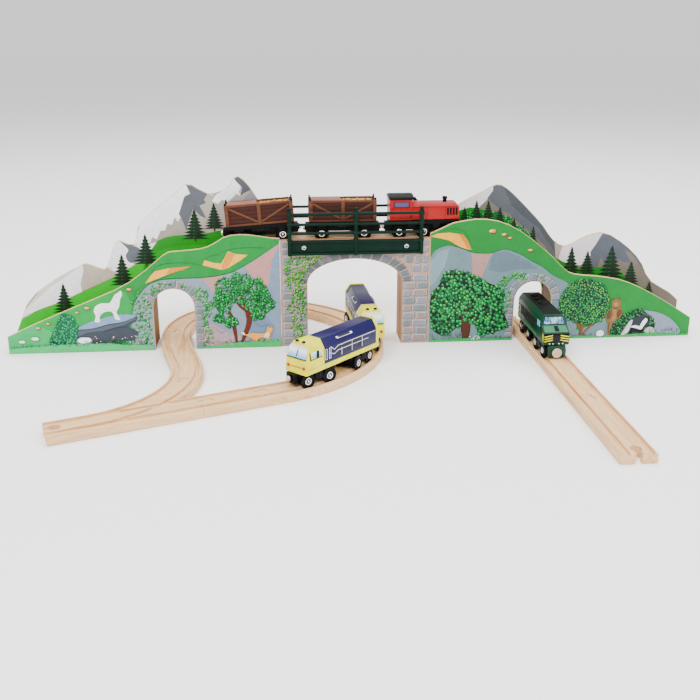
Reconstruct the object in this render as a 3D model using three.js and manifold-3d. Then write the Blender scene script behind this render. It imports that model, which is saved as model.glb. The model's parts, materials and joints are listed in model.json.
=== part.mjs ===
// Wooden train set. Two painted hills and a stone arch bridge carry an upper line of
// wooden track, and a loop of floor track with a turnout runs through their tunnels.
// Millimetres, +Z up. X runs along the scenery, the front boards face -Y, the floor is Z = 0.
import * as THREE from 'three';
import { mergeVertices } from 'three/addons/utils/BufferGeometryUtils.js';
import Module from 'manifold-3d';

const wasm = await Module();
wasm.setup();

// Scenery
const GAP = 0.3;
const HILL_END = 480;
const LEFT_SEAM = -108.5;
const RIGHT_SEAM = 97;
const BOARD = 4.5;
const SCENERY_DEPTH = 50;
const MIDDLE = SCENERY_DEPTH / 2;
const BRIDGE_TOP = 152;
const DECK = 150;
const LEFT_TUNNEL = { centre: -255, halfWidth: 28, spring: 60, rise: 27 };
const RIGHT_TUNNEL = { centre: 246, halfWidth: 27, spring: 58, rise: 28 };
const ARCH = { centre: -6.5, halfWidth: 65.5, spring: 90, rise: 34 };
const LEFT_RAMP = { side: -1, crest: -111, crestRadius: 300, slope: 28.2, footRadius: 150 };
const RIGHT_RAMP = { side: 1, crest: 125, crestRadius: 220, slope: 29, footRadius: 180 };

// Wooden track
const TRACK_WIDTH = 40;
const TRACK_HEIGHT = 12;
const TRACK_BEVEL = 2;
const GROOVE = { gauge: 13, width: 6.5, depth: 3 };
const PEG = { reach: 11, radius: 6, neck: 3 };
const SOCKET = { reach: 11, radius: 6.5, neck: 3.5 };
const SWEEP_STEP = 16;

// Floor layout
const CIRCLE_1 = { x: -176, y: -5, radius: 188, from: -69.5, to: 56 };
const CIRCLE_2 = { radius: 120, to: 180 };
const LEAD_IN = 35.3;
const SHORT_STRAIGHT = 66;
const TURNOUT = { straight: 170, stem: 41, radius: 150, turn: 56.5 };
const S_BEND = { swing: 15.6, radius: 150 };
const RIGHT_LINE = { x: 247, back: 73, joint: -232, front: -384 };

// Rolling stock
const WHEEL = { radius: 10, width: 2.8, axle: 1.5, clearance: 0.3, sides: 14 };
const AXLE_HEIGHT = WHEEL.radius + WHEEL.clearance;
const AXLE_BORE = 2;
const BEAM_HALF = 10.8;
const BODY_HALF = 17;
const CHASSIS_TOP = 26.7;
const UNDERSIDE_LOCAL = 21;
const WAGON_RAIL = DECK - GROOVE.depth;

const FINISH = {
  board: ['#6f9a52', 0.6, 0], mountain: ['#b9bcb4', 0.6, 0], stone: ['#9a9a94', 0.7, 0],
  timber: ['#dcb784', 0.65, 0], beech: ['#e3c193', 0.5, 0], steel: ['#c9ccd0', 0.3, 1],
  railing: ['#1f4434', 0.45, 0.1], plank: ['#5f3a25', 0.7, 0], load: ['#a5854c', 0.85, 0],
  black: ['#17181a', 0.5, 0], red: ['#c3161c', 0.3, 0], blue: ['#3a3a9a', 0.35, 0],
  green: ['#12513a', 0.35, 0], wheel: ['#1c1c1e', 0.4, 0.2],
};

const group = new THREE.Group();

function material(name) {
  const [color, roughness, metalness] = FINISH[name];
  return new THREE.MeshStandardMaterial({ color, roughness, metalness });
}

function add(name, solid, finish, parent = group) {
  const mesh = new THREE.Mesh(toGeometry(solid), material(finish));
  mesh.name = name;
  parent.add(mesh);
  return mesh;
}

// Solids
function toSolid(source) {
  const geometry = source.clone();
  geometry.deleteAttribute('normal');
  geometry.deleteAttribute('uv');
  const merged = mergeVertices(geometry, 1e-4);
  const vertProperties = new Float32Array(merged.attributes.position.array);
  const triVerts = new Uint32Array(merged.index.array);
  return new wasm.Manifold(new wasm.Mesh({ numProp: 3, vertProperties, triVerts }));
}

function toGeometry(solid) {
  const mesh = solid.getMesh();
  const geometry = new THREE.BufferGeometry();
  geometry.setAttribute('position', new THREE.BufferAttribute(mesh.vertProperties, 3));
  geometry.setIndex(new THREE.BufferAttribute(mesh.triVerts, 1));
  return geometry;
}

function join(...solids) {
  return solids.reduce((sum, solid) => sum.add(solid));
}

function box([x0, x1], [y0, y1], [z0, z1]) {
  const geometry = new THREE.BoxGeometry(x1 - x0, y1 - y0, z1 - z0);
  geometry.translate((x0 + x1) / 2, (y0 + y1) / 2, (z0 + z1) / 2);
  return toSolid(geometry);
}

// A cylinder between two points
function rod(from, to, radius, sides = 16) {
  const start = new THREE.Vector3(...from);
  const along = new THREE.Vector3(...to).sub(start);
  const geometry = new THREE.CylinderGeometry(radius, radius, along.length(), sides);
  geometry.applyQuaternion(
    new THREE.Quaternion().setFromUnitVectors(new THREE.Vector3(0, 1, 0), along.clone().normalize()),
  );
  geometry.translate(...start.addScaledVector(along, 0.5).toArray());
  return toSolid(geometry);
}

function ball([x, y, z], radius) {
  const geometry = new THREE.SphereGeometry(radius, 6, 4);
  geometry.translate(x, y, z);
  return toSolid(geometry);
}

function extrude(shape, depth) {
  return new THREE.ExtrudeGeometry(shape, { depth, bevelEnabled: false });
}

// A shape drawn in (X, Z), standing from y0 to y1
function slabY(shape, y0, y1) {
  return toSolid(extrude(shape, y1 - y0).rotateX(Math.PI / 2).translate(0, y1, 0));
}

// A shape drawn in (Y, Z), running from x0 to x1
function slabX(shape, x0, x1) {
  const turn = new THREE.Matrix4().makeBasis(
    new THREE.Vector3(0, 1, 0), new THREE.Vector3(0, 0, 1), new THREE.Vector3(1, 0, 0),
  );
  return toSolid(extrude(shape, x1 - x0).applyMatrix4(turn).translate(x0, 0, 0));
}

function polygon(points) {
  return new THREE.Shape(points.map(([x, y]) => new THREE.Vector2(x, y)));
}

// Scenery boards
const LEFT_FRONT_CREST = [
  [-480, 24], [-448, 39], [-390, 63], [-325, 90], [-293, 111], [-276, 125], [-260, 137], [-245, 139],
  [-213, 142], [-196, 149], [-180, 158], [-155, 160], [-122, 155], [LEFT_SEAM - GAP, 154],
];
const RIGHT_FRONT_CREST = [
  [RIGHT_SEAM + GAP, 157], [128, 171], [162, 176], [197, 171], [231, 153], [266, 125], [289, 103],
  [305, 95], [341, 91], [376, 84], [412, 68], [447, 48], [480, 27],
];
const LEFT_BACK_CREST = [
  [-480, 18], [-464, 54], [-450, 71], [-417, 94], [-387, 109], [-377, 113], [-356, 105], [-349, 108],
  [-340, 131], [-331, 145], [-310, 138], [-303, 162], [-286, 182], [-252, 207], [-233, 222],
  [-216, 214], [-201, 208], [-178, 216], [-166, 232], [-151, 221], [-135, 196],
  [-118, 172], [LEFT_SEAM - GAP, 156],
];
const RIGHT_BACK_CREST = [
  [RIGHT_SEAM + GAP, 156], [118, 172], [143, 188], [182, 208], [200, 216], [218, 206], [245, 180],
  [267, 157], [284, 135], [304, 125], [331, 138], [359, 144], [391, 126], [417, 101], [434, 72],
  [465, 53], [480, 40],
];

// An outline that follows a crest and steps over a round tunnel mouth at the floor
function boardOutline(crest, tunnel) {
  const [start, ...rest] = crest;
  const end = crest[crest.length - 1];
  const curve = new THREE.SplineCurve(rest.map(([x, z]) => new THREE.Vector2(x, z)));
  const top = curve.getPoints(2 * rest.length).map(({ x, y }) => [x, y]);
  return polygon([[start[0], 0], start, ...top, [end[0], 0], ...tunnelMouth(tunnel)]);
}

function tunnelMouth({ centre, halfWidth, spring, rise }) {
  const vault = new THREE.EllipseCurve(centre, spring, halfWidth, rise, 0, Math.PI);
  const points = vault.getPoints(16).map(({ x, y }) => [x, y]);
  return [[centre + halfWidth, 0], ...points, [centre - halfWidth, 0]];
}

function hillBoard(name, crest, tunnel, y0, finish) {
  add(name, slabY(boardOutline(crest, tunnel), y0, y0 + BOARD), finish);
}

// Ramp profile: height of the track top at a distance from the scenery's middle
function rampTop(ramp, x) {
  const slope = THREE.MathUtils.degToRad(ramp.slope);
  const out = ramp.side * (x - ramp.crest);
  const crestRun = ramp.crestRadius * Math.sin(slope);
  const crestDrop = ramp.crestRadius * (1 - Math.cos(slope));
  const footRun = ramp.footRadius * Math.sin(slope);
  const footDrop = ramp.footRadius * (1 - Math.cos(slope));
  const straightDrop = DECK - TRACK_HEIGHT - crestDrop - footDrop;
  const straightRun = straightDrop / Math.tan(slope);
  if (out <= 0) {
    return DECK;
  }
  if (out < crestRun) {
    return DECK - ramp.crestRadius + Math.sqrt(ramp.crestRadius ** 2 - out ** 2);
  }
  if (out < crestRun + straightRun) {
    return DECK - crestDrop - (out - crestRun) * Math.tan(slope);
  }
  const toFoot = Math.max(crestRun + straightRun + footRun - out, 0);
  return TRACK_HEIGHT + ramp.footRadius - Math.sqrt(ramp.footRadius ** 2 - toFoot ** 2);
}

// Points along a ramp, lowered by a depth that is measured vertically on the flats
function rampPoints(ramp, x0, x1, lower, count = 22) {
  const slope = THREE.MathUtils.degToRad(ramp.slope);
  const points = [];
  for (let i = 0; i <= count; i += 1) {
    const x = THREE.MathUtils.lerp(x0, x1, i / count);
    const rise = (rampTop(ramp, x + 1) - rampTop(ramp, x - 1)) / 2;
    const steep = Math.min(Math.hypot(1, rise), 1 / Math.cos(slope));
    points.push([x, Math.max(rampTop(ramp, x) - lower * steep, 0)]);
  }
  return points;
}

function rampTrack(name, ramp, seam) {
  const x0 = seam + ramp.side * GAP;
  const x1 = ramp.side * (HILL_END - 0.5);
  const top = rampPoints(ramp, x0, x1, 0);
  const bottom = rampPoints(ramp, x0, x1, TRACK_HEIGHT).reverse();
  const half = TRACK_WIDTH / 2;
  let track = slabY(polygon([...top, ...bottom]), MIDDLE - half, MIDDLE + half);
  const past = 2 * ramp.side;
  const floor = rampPoints(ramp, x0 - past, x1 + past, GROOVE.depth);
  const above = rampPoints(ramp, x0 - past, x1 + past, -GROOVE.depth).reverse();
  const groove = polygon([...floor, ...above]);
  for (const side of [-1, 1]) {
    const y = MIDDLE + side * GROOVE.gauge;
    track = track.subtract(slabY(groove, y - GROOVE.width / 2, y + GROOVE.width / 2));
  }
  add(name, track, 'beech');
}

// A spacer block between the boards of a hill, under the ramp
function hillBlock(name, ramp, x0, x1) {
  const top = rampPoints(ramp, x0, x1, TRACK_HEIGHT + GAP, 10);
  const outline = polygon([[x0, 0], ...top, [x1, 0]]);
  add(name, slabY(outline, BOARD + GAP, SCENERY_DEPTH - BOARD - GAP), 'timber');
}

function hill(side, ramp, seam, tunnel, frontCrest, backCrest) {
  const label = side < 0 ? 'left' : 'right';
  const nearEdge = tunnel.centre - side * (tunnel.halfWidth + 0.5);
  const farEdge = tunnel.centre + side * (tunnel.halfWidth + 0.5);
  hillBoard(`${label}_hill_front`, frontCrest, tunnel, 0, 'board');
  hillBoard(`${label}_hill_back`, backCrest, tunnel, SCENERY_DEPTH - BOARD, 'mountain');
  rampTrack(`${label}_ramp_track`, ramp, seam);
  hillBlock(`${label}_inner_block`, ramp, seam + side * GAP, nearEdge);
  hillBlock(`${label}_outer_block`, ramp, farEdge, side * (HILL_END - 90));
}

function archBridge() {
  const block = polygon([
    [LEFT_SEAM, 0], [LEFT_SEAM, BRIDGE_TOP], [RIGHT_SEAM, BRIDGE_TOP], [RIGHT_SEAM, 0],
    ...tunnelMouth(ARCH),
  ]);
  const channel = box(
    [LEFT_SEAM - 1, RIGHT_SEAM + 1],
    [BOARD, SCENERY_DEPTH - BOARD],
    [DECK - TRACK_HEIGHT - GAP, BRIDGE_TOP + 1],
  );
  add('arch_bridge', slabY(block, 0, SCENERY_DEPTH).subtract(channel), 'stone');
}

// Railing: a girder with two flanges, three round rails and three posts with balls on top
const RAILING = { left: -98, right: 87, girder: [131, 151], rails: [161, 173, 187], postTop: 192 };
const POSTS = [-95, -5.5, 84];

function railing(name, face, out) {
  const [low, high] = RAILING.girder;
  const span = [RAILING.left, RAILING.right];
  const layer = (near, far) => [face + out * near, face + out * far].sort((a, b) => a - b);
  const railY = face + out * 3.6;
  const parts = [
    box(span, layer(GAP, 3.3), [low, high]),
    box(span, layer(1, 6), [low, low + 3]),
    box(span, layer(1, 6), [high - 3, high]),
  ];
  for (const z of RAILING.rails) {
    parts.push(rod([span[0], railY, z], [span[1], railY, z], 1.6, 6));
  }
  for (const x of POSTS) {
    parts.push(rod([x, railY, low - 1], [x, railY, RAILING.postTop], 2.3, 6));
    parts.push(ball([x, railY, RAILING.postTop + 1], 3));
  }
  add(name, join(...parts), 'railing');
}

function railingScrew(name, x) {
  const profile = [[0, 0], [4, 0], [4, 0.9], [2.4, 1.3], [2, 2.4], [0, 2.6]];
  const geometry = new THREE.LatheGeometry(profile.map(([r, h]) => new THREE.Vector2(r, h)), 14);
  geometry.rotateX(Math.PI).translate(x, -3.3 - GAP, (RAILING.girder[0] + RAILING.girder[1]) / 2);
  add(name, toSolid(geometry), 'steel');
}

// Track lines: a chain of straights and arcs on the floor, walked from a starting pose
const degrees = THREE.MathUtils.degToRad;

function legLength(leg) {
  return leg.radius ? leg.radius * degrees(Math.abs(leg.turn)) : leg.length;
}

function walk({ x, y, heading }, leg, distance) {
  const angle = degrees(heading);
  if (!leg.radius) {
    return { x: x + distance * Math.cos(angle), y: y + distance * Math.sin(angle), heading };
  }
  const side = Math.sign(leg.turn);
  const turned = (side * distance) / leg.radius;
  const centreX = x - side * leg.radius * Math.sin(angle);
  const centreY = y + side * leg.radius * Math.cos(angle);
  return {
    x: centreX + side * leg.radius * Math.sin(angle + turned),
    y: centreY - side * leg.radius * Math.cos(angle + turned),
    heading: heading + THREE.MathUtils.radToDeg(turned),
  };
}

class TrackLine extends THREE.Curve {
  constructor(start, legs, trim = GAP / 2) {
    super();
    this.start = start;
    this.legs = legs;
    this.trim = trim;
    this.total = legs.reduce((sum, leg) => sum + legLength(leg), 0);
  }

  poseAt(distance) {
    let pose = this.start;
    let left = distance;
    for (const leg of this.legs) {
      const length = legLength(leg);
      const last = leg === this.legs[this.legs.length - 1];
      if (left <= length || last) {
        return walk(pose, leg, left);
      }
      pose = walk(pose, leg, length);
      left -= length;
    }
    return pose;
  }

  get end() {
    return this.poseAt(this.total);
  }

  getPoint(t) {
    const { x, y } = this.poseAt(THREE.MathUtils.lerp(this.trim, this.total - this.trim, t));
    return new THREE.Vector3(x, y, 0);
  }
}

// Sections are drawn as (across, height)
function sweep(line, section) {
  const shape = polygon(section.map(([across, height]) => [-height, across]));
  const curved = line.legs.some((leg) => leg.radius);
  const steps = curved ? Math.ceil(line.total / SWEEP_STEP) : 1;
  return toSolid(new THREE.ExtrudeGeometry(shape, { extrudePath: line, steps, bevelEnabled: false }));
}

function trackSection(withGrooves) {
  const half = TRACK_WIDTH / 2;
  const top = TRACK_HEIGHT;
  const section = [[-half, top - TRACK_BEVEL], [-half, 1], [1 - half, 0]];
  section.push([half - 1, 0], [half, 1], [half, top - TRACK_BEVEL], [half - TRACK_BEVEL, top]);
  if (withGrooves) {
    for (const side of [1, -1]) {
      const right = side * GROOVE.gauge + GROOVE.width / 2;
      const left = right - GROOVE.width;
      const floor = top - GROOVE.depth;
      section.push([right, top], [right, floor], [left, floor], [left, top]);
    }
  }
  section.push([TRACK_BEVEL - half, top]);
  return section;
}

function grooveSection(side) {
  const right = side * GROOVE.gauge + GROOVE.width / 2;
  const left = right - GROOVE.width;
  const floor = TRACK_HEIGHT - GROOVE.depth;
  return [[left, floor], [right, floor], [right, TRACK_HEIGHT + 1], [left, TRACK_HEIGHT + 1]];
}

// A round peg on a neck, pointing along the heading of a pose
function connector({ x, y, heading }, { reach, radius, neck }, z0, z1, back) {
  const body = join(
    rod([reach, 0, z0], [reach, 0, z1], radius, 14),
    box([-back, reach], [-neck, neck], [z0, z1]),
  );
  return body.rotate([0, 0, heading]).translate([x, y, 0]);
}

function peg(pose) {
  return connector(pose, PEG, 1, TRACK_HEIGHT - 1, 4);
}

function socket(pose) {
  return connector(pose, SOCKET, -1, TRACK_HEIGHT + 1, 1);
}

function reversed(pose) {
  return { ...pose, heading: pose.heading + 180 };
}

// A floor track: 'peg' or 'socket' at its start and at its end
function floorTrack(name, line, startEnd, finishEnd) {
  let track = sweep(line, trackSection(true));
  const ends = [[reversed(line.start), startEnd], [line.end, finishEnd]];
  for (const [pose, kind] of ends) {
    track = kind === 'peg' ? track.add(peg(pose)) : track.subtract(socket(reversed(pose)));
  }
  add(name, track, 'beech');
}

function turnout(name, start, straightLegs, curvedLegs) {
  const lines = [new TrackLine(start, straightLegs), new TrackLine(start, curvedLegs)];
  let track = join(...lines.map((line) => sweep(line, trackSection(false))));
  for (const legs of [straightLegs, curvedLegs]) {
    const longer = new TrackLine(start, legs, -2);
    for (const side of [-1, 1]) {
      track = track.subtract(sweep(longer, grooveSection(side)));
    }
  }
  for (const line of lines) {
    track = track.add(peg(line.end));
  }
  track = track.subtract(socket(start));
  add(name, track, 'beech');
  return lines.map((line) => line.end);
}

function floorLayout() {
  const angle = degrees(CIRCLE_1.from);
  const heading = CIRCLE_1.from + 90;
  const tangent = {
    x: CIRCLE_1.x + CIRCLE_1.radius * Math.cos(angle),
    y: CIRCLE_1.y + CIRCLE_1.radius * Math.sin(angle),
    heading,
  };
  const back = (distance) => walk(tangent, {}, -distance);
  const loopStart = back(LEAD_IN);
  const stem = back(LEAD_IN + SHORT_STRAIGHT + TURNOUT.straight);
  const [straightEnd, branchEnd] = turnout(
    'turnout_track', stem,
    [{ length: TURNOUT.straight }],
    [{ length: TURNOUT.stem }, { radius: TURNOUT.radius, turn: TURNOUT.turn }],
  );
  floorTrack('short_straight_track', new TrackLine(straightEnd, [{ length: SHORT_STRAIGHT }]), 'socket', 'peg');

  const large = (CIRCLE_1.to - CIRCLE_1.from) / 2;
  const small = (CIRCLE_2.to - CIRCLE_1.to) / 2;
  const curves = [
    [{ length: LEAD_IN }, { radius: CIRCLE_1.radius, turn: large }],
    [{ radius: CIRCLE_1.radius, turn: large }],
    [{ radius: CIRCLE_2.radius, turn: small }],
    [{ radius: CIRCLE_2.radius, turn: small }],
  ];
  let pose = loopStart;
  curves.forEach((legs, i) => {
    const line = new TrackLine(pose, legs);
    floorTrack(`curve_track_${i + 1}`, line, 'socket', 'peg');
    pose = line.end;
  });
  const toBranch = sBend(pose, branchEnd);
  floorTrack('s_bend_track', new TrackLine(pose, toBranch), 'socket', 'socket');
}

// The S-shaped track turns left by the swing, runs straight, then turns right with the
// branch's radius until it meets the branch. Its first radius and its straight close the loop.
function sBend(start, branch) {
  const swing = degrees(S_BEND.swing);
  const rest = S_BEND.swing + 90 - branch.heading;
  const centreX = branch.x - S_BEND.radius * Math.sin(degrees(branch.heading));
  const centreY = branch.y + S_BEND.radius * Math.cos(degrees(branch.heading));
  const across = centreX + S_BEND.radius * Math.cos(swing) - start.x;
  const along = start.y - centreY - S_BEND.radius * Math.sin(swing);
  const bulge = 1 - Math.cos(swing);
  const length = (across * Math.sin(swing) - along * bulge) / bulge;
  const radius = (along * Math.sin(swing) - across * Math.cos(swing)) / bulge;
  return [
    { radius, turn: S_BEND.swing },
    { length },
    { radius: S_BEND.radius, turn: -rest },
  ];
}

function rightLine() {
  const { x, back, joint, front } = RIGHT_LINE;
  const start = { x, y: back, heading: 270 };
  const middle = { x, y: joint, heading: 270 };
  floorTrack('right_track_long', new TrackLine(start, [{ length: back - joint }]), 'socket', 'peg');
  floorTrack('right_track_short', new TrackLine(middle, [{ length: joint - front }]), 'socket', 'socket');
}

function deckTrack() {
  const base = DECK - TRACK_HEIGHT;
  const section = trackSection(true).map(([across, height]) => [MIDDLE + across, base + height]);
  add('bridge_deck_track', slabX(polygon(section), LEFT_SEAM + GAP / 2, RIGHT_SEAM - GAP / 2), 'beech');
}

// Rolling stock is built along X with its centre over the origin and the groove floor at Z = 0.
// A carriage is a group at a place on the track; its front faces the heading.
function carriage({ x, y, z, heading = 0, tilt = 0 }) {
  const frame = new THREE.Group();
  frame.position.set(x, y, z);
  frame.rotation.set(0, degrees(tilt), degrees(heading), 'ZYX');
  group.add(frame);
  return frame;
}

function wheelset(name, along, parent) {
  const inner = GROOVE.gauge - WHEEL.width / 2;
  const outer = GROOVE.gauge + WHEEL.width / 2;
  const profile = [
    [0, -outer], [WHEEL.radius, -outer], [WHEEL.radius, -inner], [WHEEL.axle, -inner],
    [WHEEL.axle, inner], [WHEEL.radius, inner], [WHEEL.radius, outer], [0, outer],
  ];
  const points = profile.map(([radius, across]) => new THREE.Vector2(radius, across));
  const geometry = new THREE.LatheGeometry(points, WHEEL.sides);
  const mesh = add(name, toSolid(geometry), 'wheel', parent);
  mesh.position.set(along, 0, AXLE_HEIGHT);
}

// A centre sill with an axle block and a bore at each axle, under an optional wide plate
function sill(halfLength, axles, top) {
  const blockLow = 6;
  let frame = box([-halfLength, halfLength], [-BEAM_HALF, BEAM_HALF], [13, top]);
  for (const along of axles) {
    frame = frame.add(box([along - 8, along + 8], [-BEAM_HALF, BEAM_HALF], [blockLow, top]));
  }
  for (const along of axles) {
    const half = BODY_HALF + 1;
    frame = frame.subtract(rod([along, -half, AXLE_HEIGHT], [along, half, AXLE_HEIGHT], AXLE_BORE, 10));
  }
  return frame;
}

function wideChassis(halfLength, axles) {
  const plate = box([-halfLength, halfLength], [1 - BODY_HALF, BODY_HALF - 1], [22, CHASSIS_TOP]);
  return sill(halfLength - 6, axles, 23).add(plate);
}

// Wagons
const WAGON = { half: 46, axle: 29, floor: CHASSIS_TOP + GAP, rim: 56, wall: 3, stake: 59 };

function wagonBody() {
  const { half, floor, rim, wall, stake } = WAGON;
  const side = BODY_HALF - 1.5;
  const shell = box([-half, half], [-side, side], [floor, rim]);
  const inside = box([wall - half, half - wall], [wall - side, side - wall], [floor + wall, rim + 1]);
  let body = shell.subtract(inside);
  for (const y of [-1, 1]) {
    for (const x of [2.2 - half, 0, half - 2.2]) {
      const across = [y * (side - 1), y * BODY_HALF].sort((a, b) => a - b);
      const top = x === 0 ? rim : stake;
      body = body.add(box([x - 2, x + 2], across, [floor, top]));
    }
  }
  return body;
}

function wagonLoad() {
  const { half, floor, rim, wall } = WAGON;
  const end = half - wall - GAP;
  const side = BODY_HALF - 1.5 - wall - GAP;
  const base = floor + wall + GAP;
  const crate = box([-end, -2], [-side, side], [base, rim - 0.5]);
  const ore = box([-3, end], [-side, side], [base, rim - 6]);
  let load = crate.add(ore);
  for (const [x, y, size] of [[6, -5, 6.5], [17, 5, 7], [27, -5, 7], [37, 4, 6]]) {
    const lump = new THREE.DodecahedronGeometry(size).translate(x, y, rim - 7);
    load = load.add(toSolid(lump));
  }
  const hold = box([-end, end], [-side, side], [base, rim + 5]);
  return load.intersect(hold);
}

function wagon(name, place) {
  const frame = carriage(place);
  add(`${name}_body`, wagonBody(), 'plank', frame);
  add(`${name}_load`, wagonLoad(), 'load', frame);
  add(`${name}_chassis`, wideChassis(WAGON.half - 1, [-WAGON.axle, WAGON.axle]), 'black', frame);
  wheelset(`${name}_wheels_rear`, -WAGON.axle, frame);
  wheelset(`${name}_wheels_front`, WAGON.axle, frame);
}

// A wagon on the round crest of the left ramp, at an angle from the top
const WAGON_1_ANGLE = -4.1;
const WAGON_2_X = -22;

function wagons() {
  const floorRadius = LEFT_RAMP.crestRadius - GROOVE.depth;
  const radius = Math.sqrt(floorRadius ** 2 - WAGON.axle ** 2);
  const angle = degrees(WAGON_1_ANGLE);
  wagon('wagon_1', {
    x: LEFT_RAMP.crest + radius * Math.sin(angle),
    y: MIDDLE,
    z: DECK - LEFT_RAMP.crestRadius + radius * Math.cos(angle),
    tilt: WAGON_1_ANGLE,
  });
  wagon('wagon_2', { x: WAGON_2_X, y: MIDDLE, z: WAGON_RAIL });
}

// Red shunting locomotive: a cab at the rear and a long hood, three axles
const RED = { x: 89.5, half: 48.5, cabFront: -16.5, hoodTop: 50, cabTop: 58, roofTop: 62, axle: 34 };

function redBody() {
  const { half, cabFront, hoodTop, cabTop, roofTop } = RED;
  const base = CHASSIS_TOP + GAP;
  const hoodHalf = 14.5;
  const hood = polygon([
    [-hoodHalf, base], [hoodHalf, base], [hoodHalf, hoodTop - 4], [hoodHalf - 4, hoodTop],
    [4 - hoodHalf, hoodTop], [-hoodHalf, hoodTop - 4],
  ]);
  const roof = new THREE.Shape();
  const eave = BODY_HALF;
  roof.moveTo(-eave, cabTop);
  roof.lineTo(eave, cabTop);
  roof.lineTo(eave, cabTop + 1);
  roof.quadraticCurveTo(0, 2 * roofTop - cabTop - 1, -eave, cabTop + 1);
  return join(
    slabX(hood, cabFront - 1, half),
    box([-half + 1, cabFront], [1 - BODY_HALF, BODY_HALF - 1], [base, cabTop]),
    slabX(roof, -half, cabFront + 1.5),
    rod([31, 0, hoodTop - 1], [31, 0, hoodTop + 7], 3, 12),
    rod([cabFront + 4, 0, hoodTop - 2], [cabFront + 4, 0, hoodTop + 6], 2, 10),
  );
}

function redLoco() {
  const frame = carriage({ x: RED.x, y: MIDDLE, z: WAGON_RAIL });
  const axles = [-RED.axle, 0, RED.axle];
  add('red_loco_body', redBody(), 'red', frame);
  add('red_loco_chassis', wideChassis(RED.half - 1, axles), 'black', frame);
  ['rear', 'middle', 'front'].forEach((label, i) => {
    wheelset(`red_loco_wheels_${label}`, axles[i], frame);
  });
}

// A locomotive body: its side outline crossed with its end outline
function locoBody(sideOutline, endOutline) {
  const side = slabY(polygon(sideOutline), -BODY_HALF, BODY_HALF);
  const reach = Math.max(...sideOutline.map(([x]) => Math.abs(x))) + 1;
  return side.intersect(slabX(polygon(endOutline), -reach, reach));
}

// Two blue locomotives on the large circle, each on two swivelling bogies
const BLUE = { half: 69, shoulder: 48, top: 59, roofHalf: 10, bogieAngle: 12.4, bogieAxle: 16 };
const BLUE_ANGLES = { blue_loco_a: -44.2, blue_loco_b: 3.6 };
const BOGIE_RADIUS = CIRCLE_1.radius - 0.34;
const SWIVEL_PIN = { radius: 3, bore: 3.5, top: 27 };

function blueBody(pivot) {
  const { half, shoulder, top, roofHalf } = BLUE;
  const sideOutline = [
    [-half, UNDERSIDE_LOCAL], [half, UNDERSIDE_LOCAL], [half, 39], [half - 6, top - 3],
    [half - 9, top], [3 - half, top], [-half, top - 3],
  ];
  const endOutline = [
    [-BODY_HALF, UNDERSIDE_LOCAL], [BODY_HALF, UNDERSIDE_LOCAL], [BODY_HALF, shoulder],
    [roofHalf, top], [-roofHalf, top], [-BODY_HALF, shoulder],
  ];
  let body = locoBody(sideOutline, endOutline);
  for (const x of [-pivot, pivot]) {
    const bore = rod([x, 0, UNDERSIDE_LOCAL - 1], [x, 0, SWIVEL_PIN.top + 1], SWIVEL_PIN.bore, 16);
    body = body.subtract(bore);
  }
  return body;
}

function bogie() {
  const top = UNDERSIDE_LOCAL - GAP;
  const pin = rod([0, 0, top - 1], [0, 0, SWIVEL_PIN.top], SWIVEL_PIN.radius, 16);
  return sill(26, [-BLUE.bogieAxle, BLUE.bogieAxle], top).add(pin);
}

function onCircle(angle, radius) {
  const turn = degrees(angle);
  return {
    x: CIRCLE_1.x + radius * Math.cos(turn),
    y: CIRCLE_1.y + radius * Math.sin(turn),
    z: TRACK_HEIGHT - GROOVE.depth,
    heading: angle - 90,
  };
}

function blueLoco(name, angle) {
  const swing = degrees(BLUE.bogieAngle);
  const body = blueBody(BOGIE_RADIUS * Math.sin(swing));
  add(`${name}_body`, body, 'blue', carriage(onCircle(angle, BOGIE_RADIUS * Math.cos(swing))));
  for (const [label, side] of [['front', -1], ['rear', 1]]) {
    const frame = carriage(onCircle(angle + side * BLUE.bogieAngle, BOGIE_RADIUS));
    add(`${name}_${label}_bogie`, bogie(), 'black', frame);
    wheelset(`${name}_${label}_wheels_1`, BLUE.bogieAxle, frame);
    wheelset(`${name}_${label}_wheels_2`, -BLUE.bogieAxle, frame);
  }
}

// Green locomotive on the right line, facing the front, on four axles
const GREEN = { y: -47, half: 62, top: 57, shoulder: 50, roofHalf: 12, axles: [51, 17, -17, -51] };

function greenLoco() {
  const { y, half, top, shoulder, roofHalf, axles } = GREEN;
  const sideOutline = [
    [-half, UNDERSIDE_LOCAL], [half, UNDERSIDE_LOCAL], [half, 37], [half - 13, 44],
    [half - 18, top], [2 - half, top], [-half, top - 2],
  ];
  const endOutline = [
    [-BODY_HALF, UNDERSIDE_LOCAL], [BODY_HALF, UNDERSIDE_LOCAL], [BODY_HALF, shoulder],
    [roofHalf, top], [-roofHalf, top], [-BODY_HALF, shoulder],
  ];
  const frame = carriage({ x: RIGHT_LINE.x, y, z: TRACK_HEIGHT - GROOVE.depth, heading: 270 });
  add('green_loco_body', locoBody(sideOutline, endOutline), 'green', frame);
  add('green_loco_chassis', sill(half - 4, axles, UNDERSIDE_LOCAL - GAP), 'black', frame);
  axles.forEach((along, i) => wheelset(`green_loco_wheels_${i + 1}`, along, frame));
}

hill(-1, LEFT_RAMP, LEFT_SEAM, LEFT_TUNNEL, LEFT_FRONT_CREST, LEFT_BACK_CREST);
hill(1, RIGHT_RAMP, RIGHT_SEAM, RIGHT_TUNNEL, RIGHT_FRONT_CREST, RIGHT_BACK_CREST);
archBridge();
deckTrack();
railing('front_railing', 0, -1);
railing('back_railing', SCENERY_DEPTH, 1);
railingScrew('railing_screw_left', -76);
railingScrew('railing_screw_right', 64);
floorLayout();
rightLine();
wagons();
redLoco();
for (const [name, angle] of Object.entries(BLUE_ANGLES)) {
  blueLoco(name, angle);
}
greenLoco();

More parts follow.
